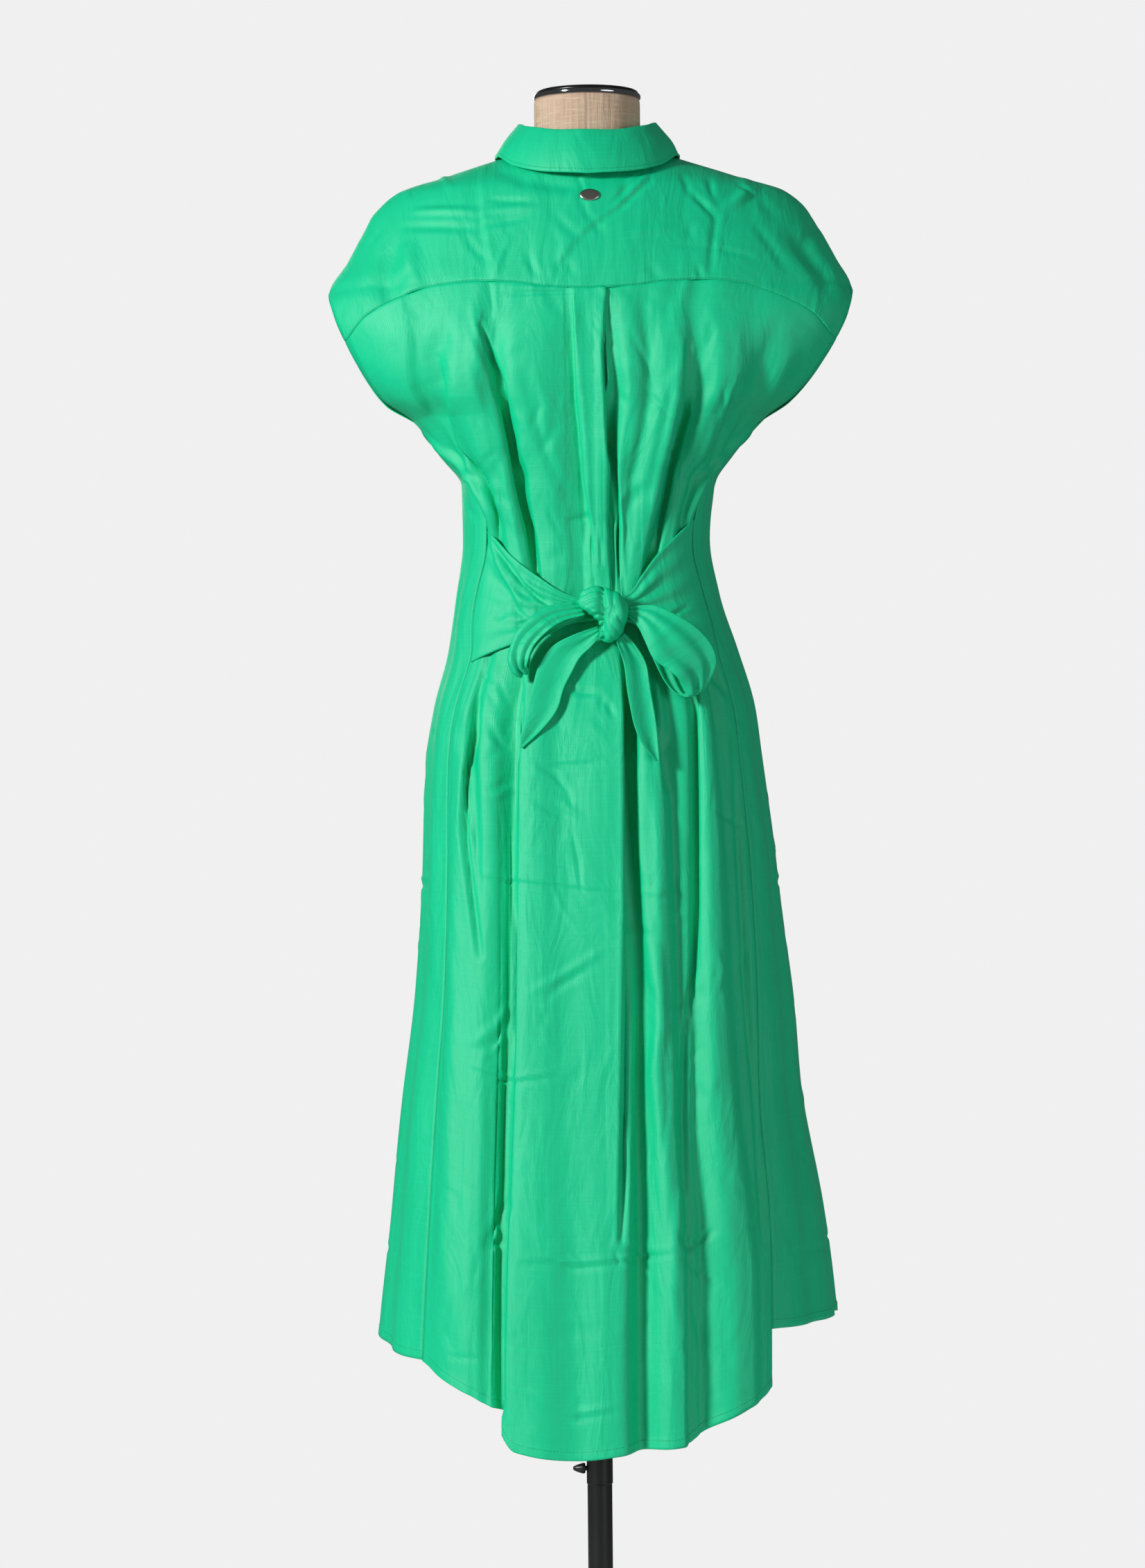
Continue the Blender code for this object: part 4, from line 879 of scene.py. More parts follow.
TIE_CREASES = """
edge   2.0 -2.8  703,771 715,811 737,850 748,878 767,893
trough 2.5 -1.8  706,773 726,804 754,842 780,865 800,879
ridge  5.0  1.4  700,790 722,825 744,858 775,884
trough 8.0 -1.2  716,880 724,892
trough 3.0 -1.0  742,903 762,896
trough 3.0 -1.2  961,896 979,883 994,875
trough 3.0 -1.2  961,903 974,908 992,926
ridge  5.0  0.9  915,865 940,837 956,816
"""
CREASE_GAIN = 1.6          # creases stand this much higher and deeper than their tables say

# Creases of the fronts, alike in kind: along the cloth from the front edge, and height.
FRONT_CREASES = """
trough 6.0 -1.6  290,1440 236,1405 190,1385
ridge  6.0  1.2  300,1420 240,1384 196,1362
trough 4.0 -1.1  62,1540 84,1470 96,1400
trough 4.0 -1.0  120,1300 128,1250 122,1205
ridge  4.0  1.0  150,1310 158,1240 150,1190
trough 3.0 -1.0  40,925 130,918 238,927
ridge  3.0  0.7  40,932 130,925 238,934
trough 3.0 -0.9  30,562 120,556 260,566
trough 4.0 -1.2  214,1130 228,1060 222,980
trough 4.0 -1.2  92,1120 84,1050 90,960
ridge  4.0  0.9  180,780 196,700 188,610
trough 3.5 -1.0  250,800 280,770 316,764
trough 3.0 -0.9  60,660 90,640 126,646
"""


def in_picture(place):
    """x and height in millimetres of a place in the picture, on the back of the dress."""
    across, down = (float(part) for part in place.split(","))
    nearer = np.interp(down, (160, 930, 1500, 2100), (0.985, 0.975, 0.962, 0.951))
    axis = 847 + 0.0095 * (down - 158)
    return -(across - axis) * 0.7 * nearer, 1022 - (down - 1131.5) * 0.7 * nearer


def on_cloth(place):
    return tuple(float(part) for part in place.split(","))


def read_creases(text, placed=in_picture):
    """Kind, width, height and way of each crease of a table."""
    rows = [line.split() for line in text.strip().splitlines()]
    return [(kind, float(width), float(height), np.array([placed(p) for p in places]))
            for kind, width, height, *places in rows]


def crease_height(u, w, row):
    """Height of one crease at places u across and w up a piece of cloth, in millimetres."""
    kind, width, height, way = row
    reach = width * 6
    low, high = way.min(axis=0) - reach, way.max(axis=0) + reach
    near = (u > low[0]) & (u < high[0]) & (w > low[1]) & (w < high[1])
    found = np.zeros(u.shape)
    if not near.any():
        return found
    places = np.stack((u[near], w[near]), axis=-1)
    lengths = np.linalg.norm(np.diff(way, axis=0), axis=1)
    passed = np.concatenate(([0], np.cumsum(lengths))) / lengths.sum()
    best, side, share = np.full(len(places), np.inf), np.zeros(len(places)), np.zeros(len(places))
    for k, length in enumerate(lengths):
        step = way[k + 1] - way[k]
        offset = places - way[k]
        t = np.clip(offset @ step / length ** 2, 0, 1)
        far = np.linalg.norm(offset - t[:, None] * step, axis=1)
        closer = far < best
        turn = np.sign(step[0] * offset[:, 1] - step[1] * offset[:, 0])
        best = np.where(closer, far, best)
        side = np.where(closer, turn, side)
        share = np.where(closer, passed[k] + t * (passed[k + 1] - passed[k]), share)
    far = best / width
    if kind == "edge":
        fade = np.clip(np.minimum(share, 1 - share) * 7 + 0.2, 0, 1)
        found[near] = side * fade * np.tanh(far) * np.exp(-far / 5) * 0.6
    else:
        fade = np.sin(np.pi * np.clip(share * 0.94 + 0.03, 0, 1)) ** 0.6
        found[near] = fade * (1 - 0.6 * far ** 2) * np.exp(-far ** 2 / 1.6)
    return found * height * CREASE_GAIN


def rumples(seed, count, low, high, upright=0.6):
    """Small uneven pulls and dents spread over a piece of cloth between two corners."""
    random = np.random.RandomState(seed)
    found = []
    for _ in range(count):
        start = random.uniform(low, high)
        turn = random.normal(np.pi / 2 if random.rand() < upright else 0.4, 0.45)
        along = random.uniform(14, 60) * np.array((np.cos(turn), np.sin(turn)))
        aside = np.array((-along[1], along[0])) * random.normal(0, 0.08)
        way = np.array((start, start + along / 2 + aside, start + along))
        height = random.uniform(0.25, 0.8) * random.choice((-1, -1, 1))
        found.append(("trough", random.uniform(2.5, 7.5), height, way))
    return found


def swell(u, w, seed, size, height):
    """Slow uneven swelling of the cloth, of about this size."""
    random = np.random.RandomState(seed)
    total = np.zeros(u.shape)
    for _ in range(9):
        turn = random.uniform(0, np.pi)
        wave = size * random.uniform(0.6, 1.6)
        along = (u * np.cos(turn) + w * np.sin(turn) * 0.7) * 2 * np.pi / wave
        total += np.sin(along + random.uniform(0, 6.3))
    return total * height / 3


def slope(grid, axis):
    """Steps between the points of a grid along an axis, also beside missing ones."""
    steps = np.diff(grid, axis=axis)
    none = np.full_like(np.take(grid, [0], axis=axis), np.nan)
    both = np.stack((np.concatenate((none, steps), axis=axis),
                     np.concatenate((steps, none), axis=axis)))
    known = ~np.isnan(both)
    return np.where(known, both, 0).sum(axis=0) / np.maximum(known.sum(axis=0), 1)


def outward(grid):
    """Unit normals of a grid, on its outer side."""
    normal = np.cross(slope(grid, 0), slope(grid, 1))
    return normal / np.maximum(np.linalg.norm(normal, axis=-1, keepdims=True), 1e-12)


def raised(grid, height):
    """The grid moved out along its normals by a height in millimetres at each point."""
    return grid + outward(grid) * (height * MM)[..., None]


def creased(u, w, rows):
    """Height of all creases at places u and w in millimetres."""
    return sum((crease_height(u, w, row) for row in rows), np.zeros(u.shape))


def from_edge(grid, edge):
    """How far each point of a grid lies from one of its edges along the cloth, in millimetres."""
    lines = grid if edge in ("left", "right") else np.swapaxes(grid, 0, 1)
    if edge in ("right", "bottom"):
        lines = lines[:, ::-1]
    steps = np.linalg.norm(np.diff(lines, axis=1), axis=-1)
    far = np.concatenate((np.zeros((len(lines), 1)), np.cumsum(steps, axis=1)), axis=1) / MM
    if edge in ("right", "bottom"):
        far = far[:, ::-1]
    return far if edge in ("left", "right") else far.T


def tucked(grid, edge, free=None, reach=2.4, sink=1.0):
    """The grid with one more line past an edge, which runs on under its neighbour.

    Where the edge is free, as on a sleeve, the line only turns in over the edge."""
    lines = grid if edge in ("top", "bottom") else np.swapaxes(grid, 0, 1)
    normals = outward(grid) if edge in ("top", "bottom") else np.swapaxes(outward(grid), 0, 1)
    last, before = (0, 1) if edge in ("top", "left") else (-1, -2)
    along = lines[last] - lines[before]
    along /= np.maximum(np.linalg.norm(along, axis=-1, keepdims=True), 1e-12)
    under = np.ones(len(along)) if free is None else 1 - free
    move = along * (0.2 + under * (reach - 0.2))[:, None]
    move -= normals[last] * (0.3 + under * (sink - 0.3))[:, None]
    added = (lines[last] + move * MM)[None]
    lines = np.concatenate((added, lines) if last == 0 else (lines, added))
    return lines if edge in ("top", "bottom") else np.swapaxes(lines, 0, 1)


def clear_of_sides(grid):
    """Share of the creases that is left near the side edges, so that both sides of a seam meet."""
    far = np.minimum(from_edge(grid, "left"), from_edge(grid, "right"))
    return 1 - np.exp(-(far / 9) ** 2)


def hem_band(far, width, thick=0.5):
    """Height of a turned hem: an extra layer up to the stitch line, and a dent along it."""
    band = thick * (1 - ease((far - width + 0.8) / 1.6))
    stitch = -0.35 * np.exp(-((far - width + 1.5) / 1.0) ** 2)
    return band + stitch


def side_roll(far, z, height):
    """A rolled fold beside the side seam, from under the arm down to the tie."""
    reach = np.exp(-((z - 1325) / 52) ** 4)
    return height * reach * (np.exp(-((far - 9) / 5.5) ** 2) - 0.9 * np.exp(-(far / 3) ** 2))


def seam_dent(far, depth=0.5, width=1.3):
    """Cloth turned in along a seam."""
    return -depth * np.exp(-(far / width) ** 2)


# ---------------------------------------------------------------- materials

def linear(code):
    """A hex sRGB colour as linear values."""
    parts = [int(code[k:k + 2], 16) / 255 for k in (1, 3, 5)]
    return [p / 12.92 if p <= 0.04045 else ((p + 0.055) / 1.055) ** 2.4 for p in parts] + [1]


def node(material, kind, settings=(), links=()):
    """A node of a material with its settings, and links from other nodes' outputs to its inputs."""
    made = material.node_tree.nodes.new(kind)
    for key, value in dict(settings).items():
        if isinstance(key, str) and hasattr(made, key):
            setattr(made, key, value)
        else:
            made.inputs[key].default_value = value
    for key, source in dict(links).items():
        material.node_tree.links.new(source, made.inputs[key])
    return made


def finish(name, colour, roughness, metallic=0.0, **sockets):
    """A Principled material whose even values stay on the shader's own sockets."""
    made = bpy.data.materials.new(name)
    made.use_nodes = True
    shader = made.node_tree.nodes["Principled BSDF"]
    shader.inputs["Base Color"].default_value = linear(colour)
    shader.inputs["Roughness"].default_value = roughness
    shader.inputs["Metallic"].default_value = metallic
    for key, value in sockets.items():
        shader.inputs[key.replace("_", " ")].default_value = value
    return made, shader


def ramp(material, source, places):
    """Colours over a value."""
    made = node(material, "ShaderNodeValToRGB", links={"Fac": source})
    made.color_ramp.elements[0].position, made.color_ramp.elements[0].color = places[0]
    made.color_ramp.elements[1].position, made.color_ramp.elements[1].color = places[-1]
    for place, colour in places[1:-1]:
        made.color_ramp.elements.new(place).color = colour
    return made.outputs["Color"]


def woven(name, colour, shade, thread, sheen, bump=0.25, roughness=0.72, slub=(0.35, 0.65)):
    """Plain woven cloth: threads both ways with slubs along them, crumpled a little all over."""
    made, shader = finish(name, colour, roughness, Sheen_Weight=sheen, Sheen_Roughness=0.3,
                          Specular_IOR_Level=0.42)
    place = node(made, "ShaderNodeUVMap").outputs["UV"]
    threads = []
    for stretch in ((1, 0.035, 1), (0.035, 1, 1)):
        mapped = node(made, "ShaderNodeMapping", {"Scale": stretch}, {"Vector": place})
        noise = node(made, "ShaderNodeTexNoise", {"Scale": 1 / (thread * 2.2), "Detail": 3.0,
                                                  "Roughness": 0.6}, {"Vector": mapped.outputs[0]})
        threads.append(noise.outputs["Fac"])
    slubs = node(made, "ShaderNodeMath", {"operation": "MAXIMUM"}, {0: threads[0], 1: threads[1]})
    weave = []
    for direction in ("X", "Y"):
        wave = node(made, "ShaderNodeTexWave", {"bands_direction": direction, "Distortion": 0.6,
                                                "Detail Scale": 2.0, "Scale": 0.314 / thread},
                    {"Vector": place})
        weave.append(wave.outputs["Fac"])
    over = node(made, "ShaderNodeMath", {"operation": "MULTIPLY"}, {0: weave[0], 1: weave[1]})
    height = node(made, "ShaderNodeMath", {"operation": "ADD"}, {0: over.outputs[0],
                                                                 1: slubs.outputs[0]})
    cloud = node(made, "ShaderNodeTexNoise", {"Scale": 9.0, "Detail": 2.0}, {"Vector": place})
    tone = node(made, "ShaderNodeMath", {"operation": "MULTIPLY_ADD", 1: 0.3},
                {0: cloud.outputs["Fac"], 2: slubs.outputs[0]})
    colours = ramp(made, tone.outputs[0], ((slub[0] + 0.15, linear(shade)),
                                           (slub[1] + 0.15, linear(colour))))
    made.node_tree.links.new(colours, shader.inputs["Base Color"])
    crumple = node(made, "ShaderNodeMapping", {"Scale": (34, 11, 1)}, {"Vector": place})
    crumple = node(made, "ShaderNodeTexNoise", {"Scale": 1.0, "Detail": 3.0, "Distortion": 0.8},
                   {"Vector": crumple.outputs[0]})
    slack = node(made, "ShaderNodeBump", {"Strength": 0.5, "Distance": 0.006},
                 {"Height": crumple.outputs["Fac"]})
    relief = node(made, "ShaderNodeBump", {"Strength": bump, "Distance": 0.0006},
                  {"Height": height.outputs[0], "Normal": slack.outputs["Normal"]})
    made.node_tree.links.new(relief.outputs["Normal"], shader.inputs["Normal"])
    return made


def painted(name, colour, roughness, grain_mm, depth=0.12, metallic=0.0, **sockets):
    """A smooth hard finish with a fine uneven grain in its gloss and surface."""
    made, shader = finish(name, colour, roughness, metallic, **sockets)
    place = node(made, "ShaderNodeTexCoord").outputs["Object"]
    grain = node(made, "ShaderNodeTexNoise", {"Scale": 1 / (grain_mm * MM), "Detail": 3.0},
                 {"Vector": place})
    wear = node(made, "ShaderNodeTexNoise", {"Scale": 14.0, "Detail": 4.0}, {"Vector": place})
    gloss = node(made, "ShaderNodeMapRange", {"To Min": roughness * 0.75, "To Max": roughness * 1.3},
                 {"Value": wear.outputs["Fac"]})
    made.node_tree.links.new(gloss.outputs[0], shader.inputs["Roughness"])
    relief = node(made, "ShaderNodeBump", {"Strength": depth, "Distance": 0.0003},
                  {"Height": grain.outputs["Fac"]})
    made.node_tree.links.new(relief.outputs["Normal"], shader.inputs["Normal"])
    return made


# Viscose and linen in plain weave, dyed emerald: threads 0.45 mm apart, drawn 0.9 mm so that they
# show, with a broad soft highlight where the cloth turns to the light.
DRESS = woven("emerald_viscose_linen", "#00CB91", "#00C389", 0.9 * MM, 0.0, roughness=0.5)
# The form's cover: undyed linen canvas, threads 0.8 mm apart, dry and slubby.
LINEN = woven("natural_linen_canvas", "#DCC2A8", "#BFA084", 1.0 * MM, 0.2, bump=0.5,
              roughness=0.85)
# Polyester sewing thread dyed to match, a little glossier and darker than the cloth.
THREAD = painted("emerald_polyester_thread", "#00A574", 0.45, 0.4, depth=0.3)
# Cast polyester buttons dyed to match, tumbled to a soft polish.
BUTTON = painted("emerald_cast_polyester", "#03A878", 0.25, 1.5, depth=0.05, Coat_Weight=0.3)
# Polished chromium plate on the neck ring: sharp reflections.
CHROME = painted("polished_chromium_plate", "#A9ABAE", 0.08, 1.0, depth=0.02, metallic=1.0)
# Brushed nickel plate of the oval on the yoke.
NICKEL = painted("brushed_nickel_plate", "#C9C6C0", 0.28, 0.3, depth=0.15, metallic=1.0)
# Moulded BLACK_ABS_AND_HOLE_SHADE cap, black and smooth; the same black fills the button holes as
# painted shade.
BLACK_ABS_AND_HOLE_SHADE = painted("black_abs_and_hole_shade", "#0C0D0E", 0.3, 0.8, depth=0.05)
# Powder-coated steel of the pole, tube and base: fine orange peel, 0.8 mm from dimple to dimple.
POWDER = painted("black_powder_coated_steel", "#0E0F11", 0.36, 0.8, depth=0.25)
# Matt studio floor.
FLOOR = painted("pale_studio_floor", "#EDEDED", 0.7, 3.0, depth=0.02)


# ---------------------------------------------------------------- making pieces

def grid_object(name, grid, material, closed=False, caps=False):
    """Faces between the points of a grid with its lengths along the cloth as UVs."""
    rows, columns = grid.shape[:2]
    known = ~np.isnan(grid[..., 0])
    number = np.cumsum(known.ravel()).reshape(known.shape) - 1
    i, j = np.meshgrid(np.arange(rows - 1), np.arange(columns if closed else columns - 1),
                       indexing="ij")
    k = (j + 1) % columns
    corners = np.stack((number[i, j], number[i + 1, j], number[i + 1, k], number[i, k]), axis=-1)
    whole = known[i, j] & known[i + 1, j] & known[i + 1, k] & known[i, k]
    mesh = bpy.data.meshes.new(name)
    faces = corners[whole].tolist()
    if caps:
        faces += [number[0].tolist(), number[-1, ::-1].tolist()]
    mesh.from_pydata(grid[known].tolist(), [], faces)
    filled = np.where(known[..., None], grid, 0)
    across = np.linalg.norm(np.diff(filled, axis=1), axis=-1)
    down = np.linalg.norm(np.diff(filled, axis=0), axis=-1)
    across, down = np.where(across > 0.05, 0, across), np.where(down > 0.05, 0, down)
    u = np.concatenate(([0], np.cumsum(np.median(across, axis=0))))
    v = np.concatenate(([0], np.cumsum(np.median(down, axis=1))))
    flat = np.stack(np.broadcast_arrays(u[None, :], -v[:, None]), axis=-1)[known]
    uvs = mesh.uv_layers.new(name="UVMap")
    corner = np.empty(len(mesh.loops), np.int32)
    mesh.loops.foreach_get("vertex_index", corner)
    uvs.data.foreach_set("uv", flat[corner].ravel().astype(np.float32))
    return as_object(name, mesh, material)


def as_object(name, mesh, material, smooth=True):
    made = bpy.data.objects.new(name, mesh)
    mesh.materials.append(material)
    if smooth:
        mesh.shade_smooth()
    bpy.context.scene.collection.objects.link(made)
    return made


def cloth(name, grid, replaced, thick=0.8):
    """A cloth wall whose outer side is the grid, attached to the form in place of the part that it
    replaces.
    """
    made = grid_object(name, grid, DRESS)
    wall = made.modifiers.new("wall", "SOLIDIFY")
    wall.thickness = thick * MM
    wall.offset = -1
    wall.use_rim = True
    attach(made, "form")
    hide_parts(replaced)
    return made


def turned(name, profile, material, body, replaced=(), steps=96, place=None):
    """A profile of (radius, height) points, from the top down its outer side, turned round."""
    angle = np.linspace(0, 2 * np.pi, steps, endpoint=False)
    points, faces, rings = [], [], []
    for radius, height in profile:
        if radius == 0:
            rings.append([len(points)])
            points.append((0, 0, height))
        else:
            rings.append(list(range(len(points), len(points) + steps)))
            points += [(radius * math.cos(a), radius * math.sin(a), height) for a in angle]
    for upper, lower in zip(rings, rings[1:]):
        for k in range(steps):
            n = (k + 1) % steps
            face = list(dict.fromkeys((upper[k % len(upper)], lower[k % len(lower)],
                                       lower[n % len(lower)], upper[n % len(upper)])))
            if len(face) > 2:
                faces.append(face)
    mesh = bpy.data.meshes.new(name)
    mesh.from_pydata(points, [], faces)
    made = as_object(name, mesh, material)
    mesh.set_sharp_from_angle(angle=math.radians(35))
    if place is not None:
        mesh.transform(place)
    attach(made, body)
    if replaced:
        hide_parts(*replaced)
    return made


def stitches(name, path, normal, pitch=3.2, length=2.3, radius=0.28):
    """Stitches along a path on the cloth, each a small sunk thread."""
    steps = np.linalg.norm(np.diff(path, axis=0), axis=1)
    far = np.concatenate(([0], np.cumsum(steps))) / MM
    starts = np.arange(1, far[-1] - length, pitch)

    def at(places, values):
        return np.stack([np.interp(places, far, values[:, k]) for k in range(3)], axis=-1)

    first, last = at(starts, path), at(starts + length, path)
    out = at(starts + length / 2, normal)
    out /= np.maximum(np.linalg.norm(out, axis=-1, keepdims=True), 1e-9)
    along = last - first
    along /= np.maximum(np.linalg.norm(along, axis=-1, keepdims=True), 1e-9)
    aside = np.cross(along, out)
    ring = np.linspace(0, 2 * np.pi, 6, endpoint=False)
    points, faces = [], []
    sections = ((0.0, 0.25, -0.25), (0.2, 1.0, 0.15), (0.8, 1.0, 0.15), (1.0, 0.25, -0.25))
    for number in range(len(starts)):
        base = len(points)
        for share, size, rise in sections:
            middle = first[number] + (last[number] - first[number]) * share
            middle = middle + out[number] * radius * MM * rise
            for a in ring:
                points.append(middle + (aside[number] * math.cos(a) + out[number] * math.sin(a))
                              * radius * MM * size)
        for s in range(3):
            for k in range(6):
                n = (k + 1) % 6
                faces.append((base + s * 6 + k, base + s * 6 + n, base + s * 6 + 6 + n,
                              base + s * 6 + 6 + k))
        faces.append(tuple(base + k for k in range(5, -1, -1)))
        faces.append(tuple(base + 18 + k for k in range(6)))
    mesh = bpy.data.meshes.new(name)
    mesh.from_pydata([tuple(p) for p in points], [], faces)
    made = as_object(name, mesh, THREAD)
    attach(made, "form")
    return made


def line_in(grid, edge, far_mm):
    """The line that runs at a distance from one edge of a grid, with its normals."""
    far = from_edge(grid, edge)
    normals = outward(grid)
    lines = zip(far, grid, normals) if edge in ("left", "right") else zip(
        far.T, np.swapaxes(grid, 0, 1), np.swapaxes(normals, 0, 1))
    path, out = [], []
    for along, points, normal in lines:
        order = np.argsort(along)
        path.append([np.interp(far_mm, along[order], points[order, k]) for k in range(3)])
        out.append([np.interp(far_mm, along[order], normal[order, k]) for k in range(3)])
    return np.array(path), np.array(out)


# ---------------------------------------------------------------- the dress

def back_yoke():
    """Back yoke with its creases, sleeve hems and the stitches above its seam."""
    grid = yoke_grid(64, 12, 2.5 * MM)
    x, y, z = (grid[..., k] / MM for k in range(3))
    behind = np.nan_to_num(y, nan=-1) > 0
    u, w = np.where(behind, x, 1e5), np.where(behind, z, 1e5)
    height = 1.3 * creased(u, w, read_creases(YOKE_CREASES)
                           + rumples(3, 26, (-230, 1510), (230, 1620)))
    height += swell(np.nan_to_num(x), np.nan_to_num(z), 5, 80, 0.35)
    for edge in ("left", "right"):
        height += hem_band(np.nan_to_num(from_edge(grid, edge), nan=1e3), SLEEVE_HEM)
    height += seam_dent(from_edge(grid, "bottom"))
    grid = raised(grid, np.nan_to_num(height))
    cloth("yoke_cloth", grid, "back_yoke")
    path, out = line_in(grid, "bottom", 2.0)
    stitches("yoke_topstitch", path, out)


def sleeve_stitches(name, grid):
    """The hem's stitch line along each edge of a piece that belongs to a sleeve's opening."""
    for edge in ("left", "right"):
        path, out = line_in(grid, edge, SLEEVE_HEM - 1.5)
        open_edge = path[:, 2] > MOUTH_LOW
        stitches(f"sleeve_stitch_{name}_{edge}", path[open_edge], out[open_edge])


def back_bodice():
    """Back bodice, tucked under the yoke, with rolled folds beside the side seams."""
    grid = bodice_grid(60, 92, 2 * MM)
    x, z = grid[..., 0] / MM, grid[..., 2] / MM
    height = creased(x, z, read_creases(BODICE_CREASES)
                     + rumples(7, 40, (-150, 1230), (150, 1500), 0.85))
    height += swell(x, z, 9, 70, 0.4)
    height *= clear_of_sides(grid)
    height += seam_dent(from_edge(grid, "top"))
    low = ease((MOUTH_LOW / MM - z) / 6)
    for edge in ("left", "right"):
        far = from_edge(grid, edge)
        height += hem_band(far, SLEEVE_HEM) * (1 - low) + seam_dent(far) * low
        height += side_roll(far, z, 8.0)
    grid = raised(grid, height)
    sleeve_stitches("back", grid)
    grid = tucked(grid, "top")
    cloth("bodice_cloth", grid, "back_bodice")


def back_skirt():
    """Back skirt with its pleats and its turned hem."""
    grid = skirt_grid(250, 14, 2 * MM)
    x, z = grid[..., 0] / MM, grid[..., 2] / MM
    height = creased(x, z, read_creases(SKIRT_CREASES)
                     + rumples(11, 60, (-220, 400), (200, 1130)))
    height += swell(x, z, 13, 150, 0.7) + swell(x, z, 14, 45, 0.12)
    height *= clear_of_sides(grid)
    for edge in ("left", "right"):
        height += seam_dent(from_edge(grid, edge), 0.15)
    height += hem_band(from_edge(grid, "bottom"), HEM) + hem_pucker(grid)
    grid = raised(grid, height)
    cloth("skirt_cloth", grid, "back_skirt")
    path, out = line_in(grid, "bottom", HEM - 1.5)
    stitches("hem_stitch_back", path, out)


def hem_pucker(grid):
    """Fine ripples where the hem's thread draws the cloth in."""
    far = from_edge(grid, "bottom")
    along = from_edge(grid, "left")
    wave = np.sin(along / 2.6) + 0.7 * np.sin(along / 1.7 + 1) + 0.6 * np.sin(along / 6.1)
    return 0.10 * wave * np.exp(-((far - HEM + 3) / 6) ** 2)


def front(side):
    """A front, tucked under the yoke and the back along its side seam."""
    word = "left" if side > 0 else "right"
    grid = front_grid(side, 44, 52, 190, 4 * MM)
    if side < 0:
        grid = grid[:, ::-1]
    z = grid[..., 2] / MM
    inner, outer = ("left", "right") if side < 0 else ("right", "left")
    along = from_edge(grid, inner)
    seed = 21 if side > 0 else 31
    height = creased(along, z, read_creases(FRONT_CREASES, on_cloth)
                     + rumples(seed, 80, (0, 440), (330, 1560)))
    height += swell(along, z, seed + 1, 150, 0.7)
    height *= clear_of_sides(grid)
    height += seam_dent(from_edge(grid, "top"), 0.6) + hem_band(from_edge(grid, "bottom"), HEM)
    height += hem_pucker(grid)
    low = ease((MOUTH_LOW / MM - z) / 6)
    far = from_edge(grid, outer)
    height += hem_band(far, SLEEVE_HEM) * (1 - low) + seam_dent(far, 0.15) * low
    height -= 6.5 * np.exp(-((z - 1325) / 52) ** 4) * np.exp(-((far - 5) / 6) ** 2)
    height *= 1 - np.exp(-(along / 12) ** 4)      # flat under the placket
    grid = raised(grid, height)
    free = ease((grid[:, 0 if outer == "left" else -1, 2] - MOUTH_LOW) / (4 * MM))
    grid = tucked(tucked(grid, outer, free), "top")
    cloth(f"front_cloth_{word}", grid, f"front_{word}")
    path, out = line_in(grid, "bottom", HEM - 1.5)
    stitches(f"hem_stitch_{word}", path, out)


def front_edge():
    """Button band down the front edge with its two rows of stitches, and its buttons."""
    heights = front_grid(-1, 40, 50, 150, 18 * MM)[:, :1, 2]
    across = np.linspace(-PLACKET_HALF, PLACKET_HALF, 13)
    grid = on_body(across, heights, False, PLACKET_PROUD)
    z = grid[..., 2] / MM
    far = np.minimum(from_edge(grid, "left"), from_edge(grid, "right"))
    ripple = 0.12 * np.sin(z / 3.4) * np.exp(-((far - 3) / 2) ** 2)
    stitch = -0.3 * np.exp(-((far - 3) / 1.0) ** 2)
    grid = raised(grid, stitch + ripple + swell(np.zeros_like(z), z, 41, 60, 0.2))
    cloth("placket_cloth", grid, "front_placket")
    for edge in ("left", "right"):
        path, out = line_in(grid, edge, 3.0)
        stitches(f"placket_stitch_{edge}", path, out)
    for number in range(BUTTONS):
        button(f"{number + 1:02d}", BUTTON_TOP - number * BUTTON_STEP)


def button(number, height):
    """A button with a raised rim and a crossed thread, sewn on through the placket; its four holes
    are black discs, painted shade in place of cut holes.
    """
    span = 12 * MM
    above, below = (on_body(0.0, height + s, False, PLACKET_PROUD) for s in (span, -span))
    lean = math.atan2(above[1] - below[1], 2 * span)
    hollow = max(0, on_body(0.0, height, False, PLACKET_PROUD)[1] - (above[1] + below[1]) / 2)
    middle = on_body(0.0, height, False, PLACKET_PROUD + TOUCH + 0.4 * MM + hollow)
    place = Matrix.Translation(middle) @ Matrix.Rotation(math.pi / 2 - lean, 4, "X")
    r, top = BUTTON_RADIUS, BUTTON_THICK
    profile = [(0, top - 0.9 * MM), (r * 0.42, top - 0.85 * MM), (r * 0.55, top - 0.6 * MM),
               (r * 0.68, top - 0.12 * MM), (r * 0.78, top), (r * 0.9, top - 0.1 * MM),
               (r, top - 0.6 * MM), (r, top - 1.3 * MM), (r * 0.93, 0.3 * MM), (r * 0.6, 0),
               (0, 0)]
    turned(f"button_disc_{number}", profile, BUTTON, "form",
           (f"button_{number}",), steps=48, place=place)
    # Each hole is painted shade: a black disc in the button's hollow, not a hole cut through it.
    for k in range(4):
        turn = math.pi / 4 + k * math.pi / 2
        hole = Matrix.Translation((1.3 * MM * math.cos(turn), 1.3 * MM * math.sin(turn), 0))
        turned(f"button_hole_shade_{number}_{k + 1}",
               [(0, top - 0.80 * MM), (0.55 * MM, top - 0.80 * MM), (0.62 * MM, top - 0.87 * MM)],
               BLACK_ABS_AND_HOLE_SHADE, "form", steps=12, place=place @ hole)
    for k in (-1, 1):
        ends = [np.array(place @ Vector((k * s * MM, s * MM, top - 0.6 * MM))) for s in (-1, 0, 1)]
        out = np.repeat([np.array(place.col[2][:3])], 3, axis=0)
        stitches(f"button_thread_{number}_{'a' if k < 0 else 'b'}", np.array(ends), out,
                 pitch=9, length=1.6, radius=0.3)


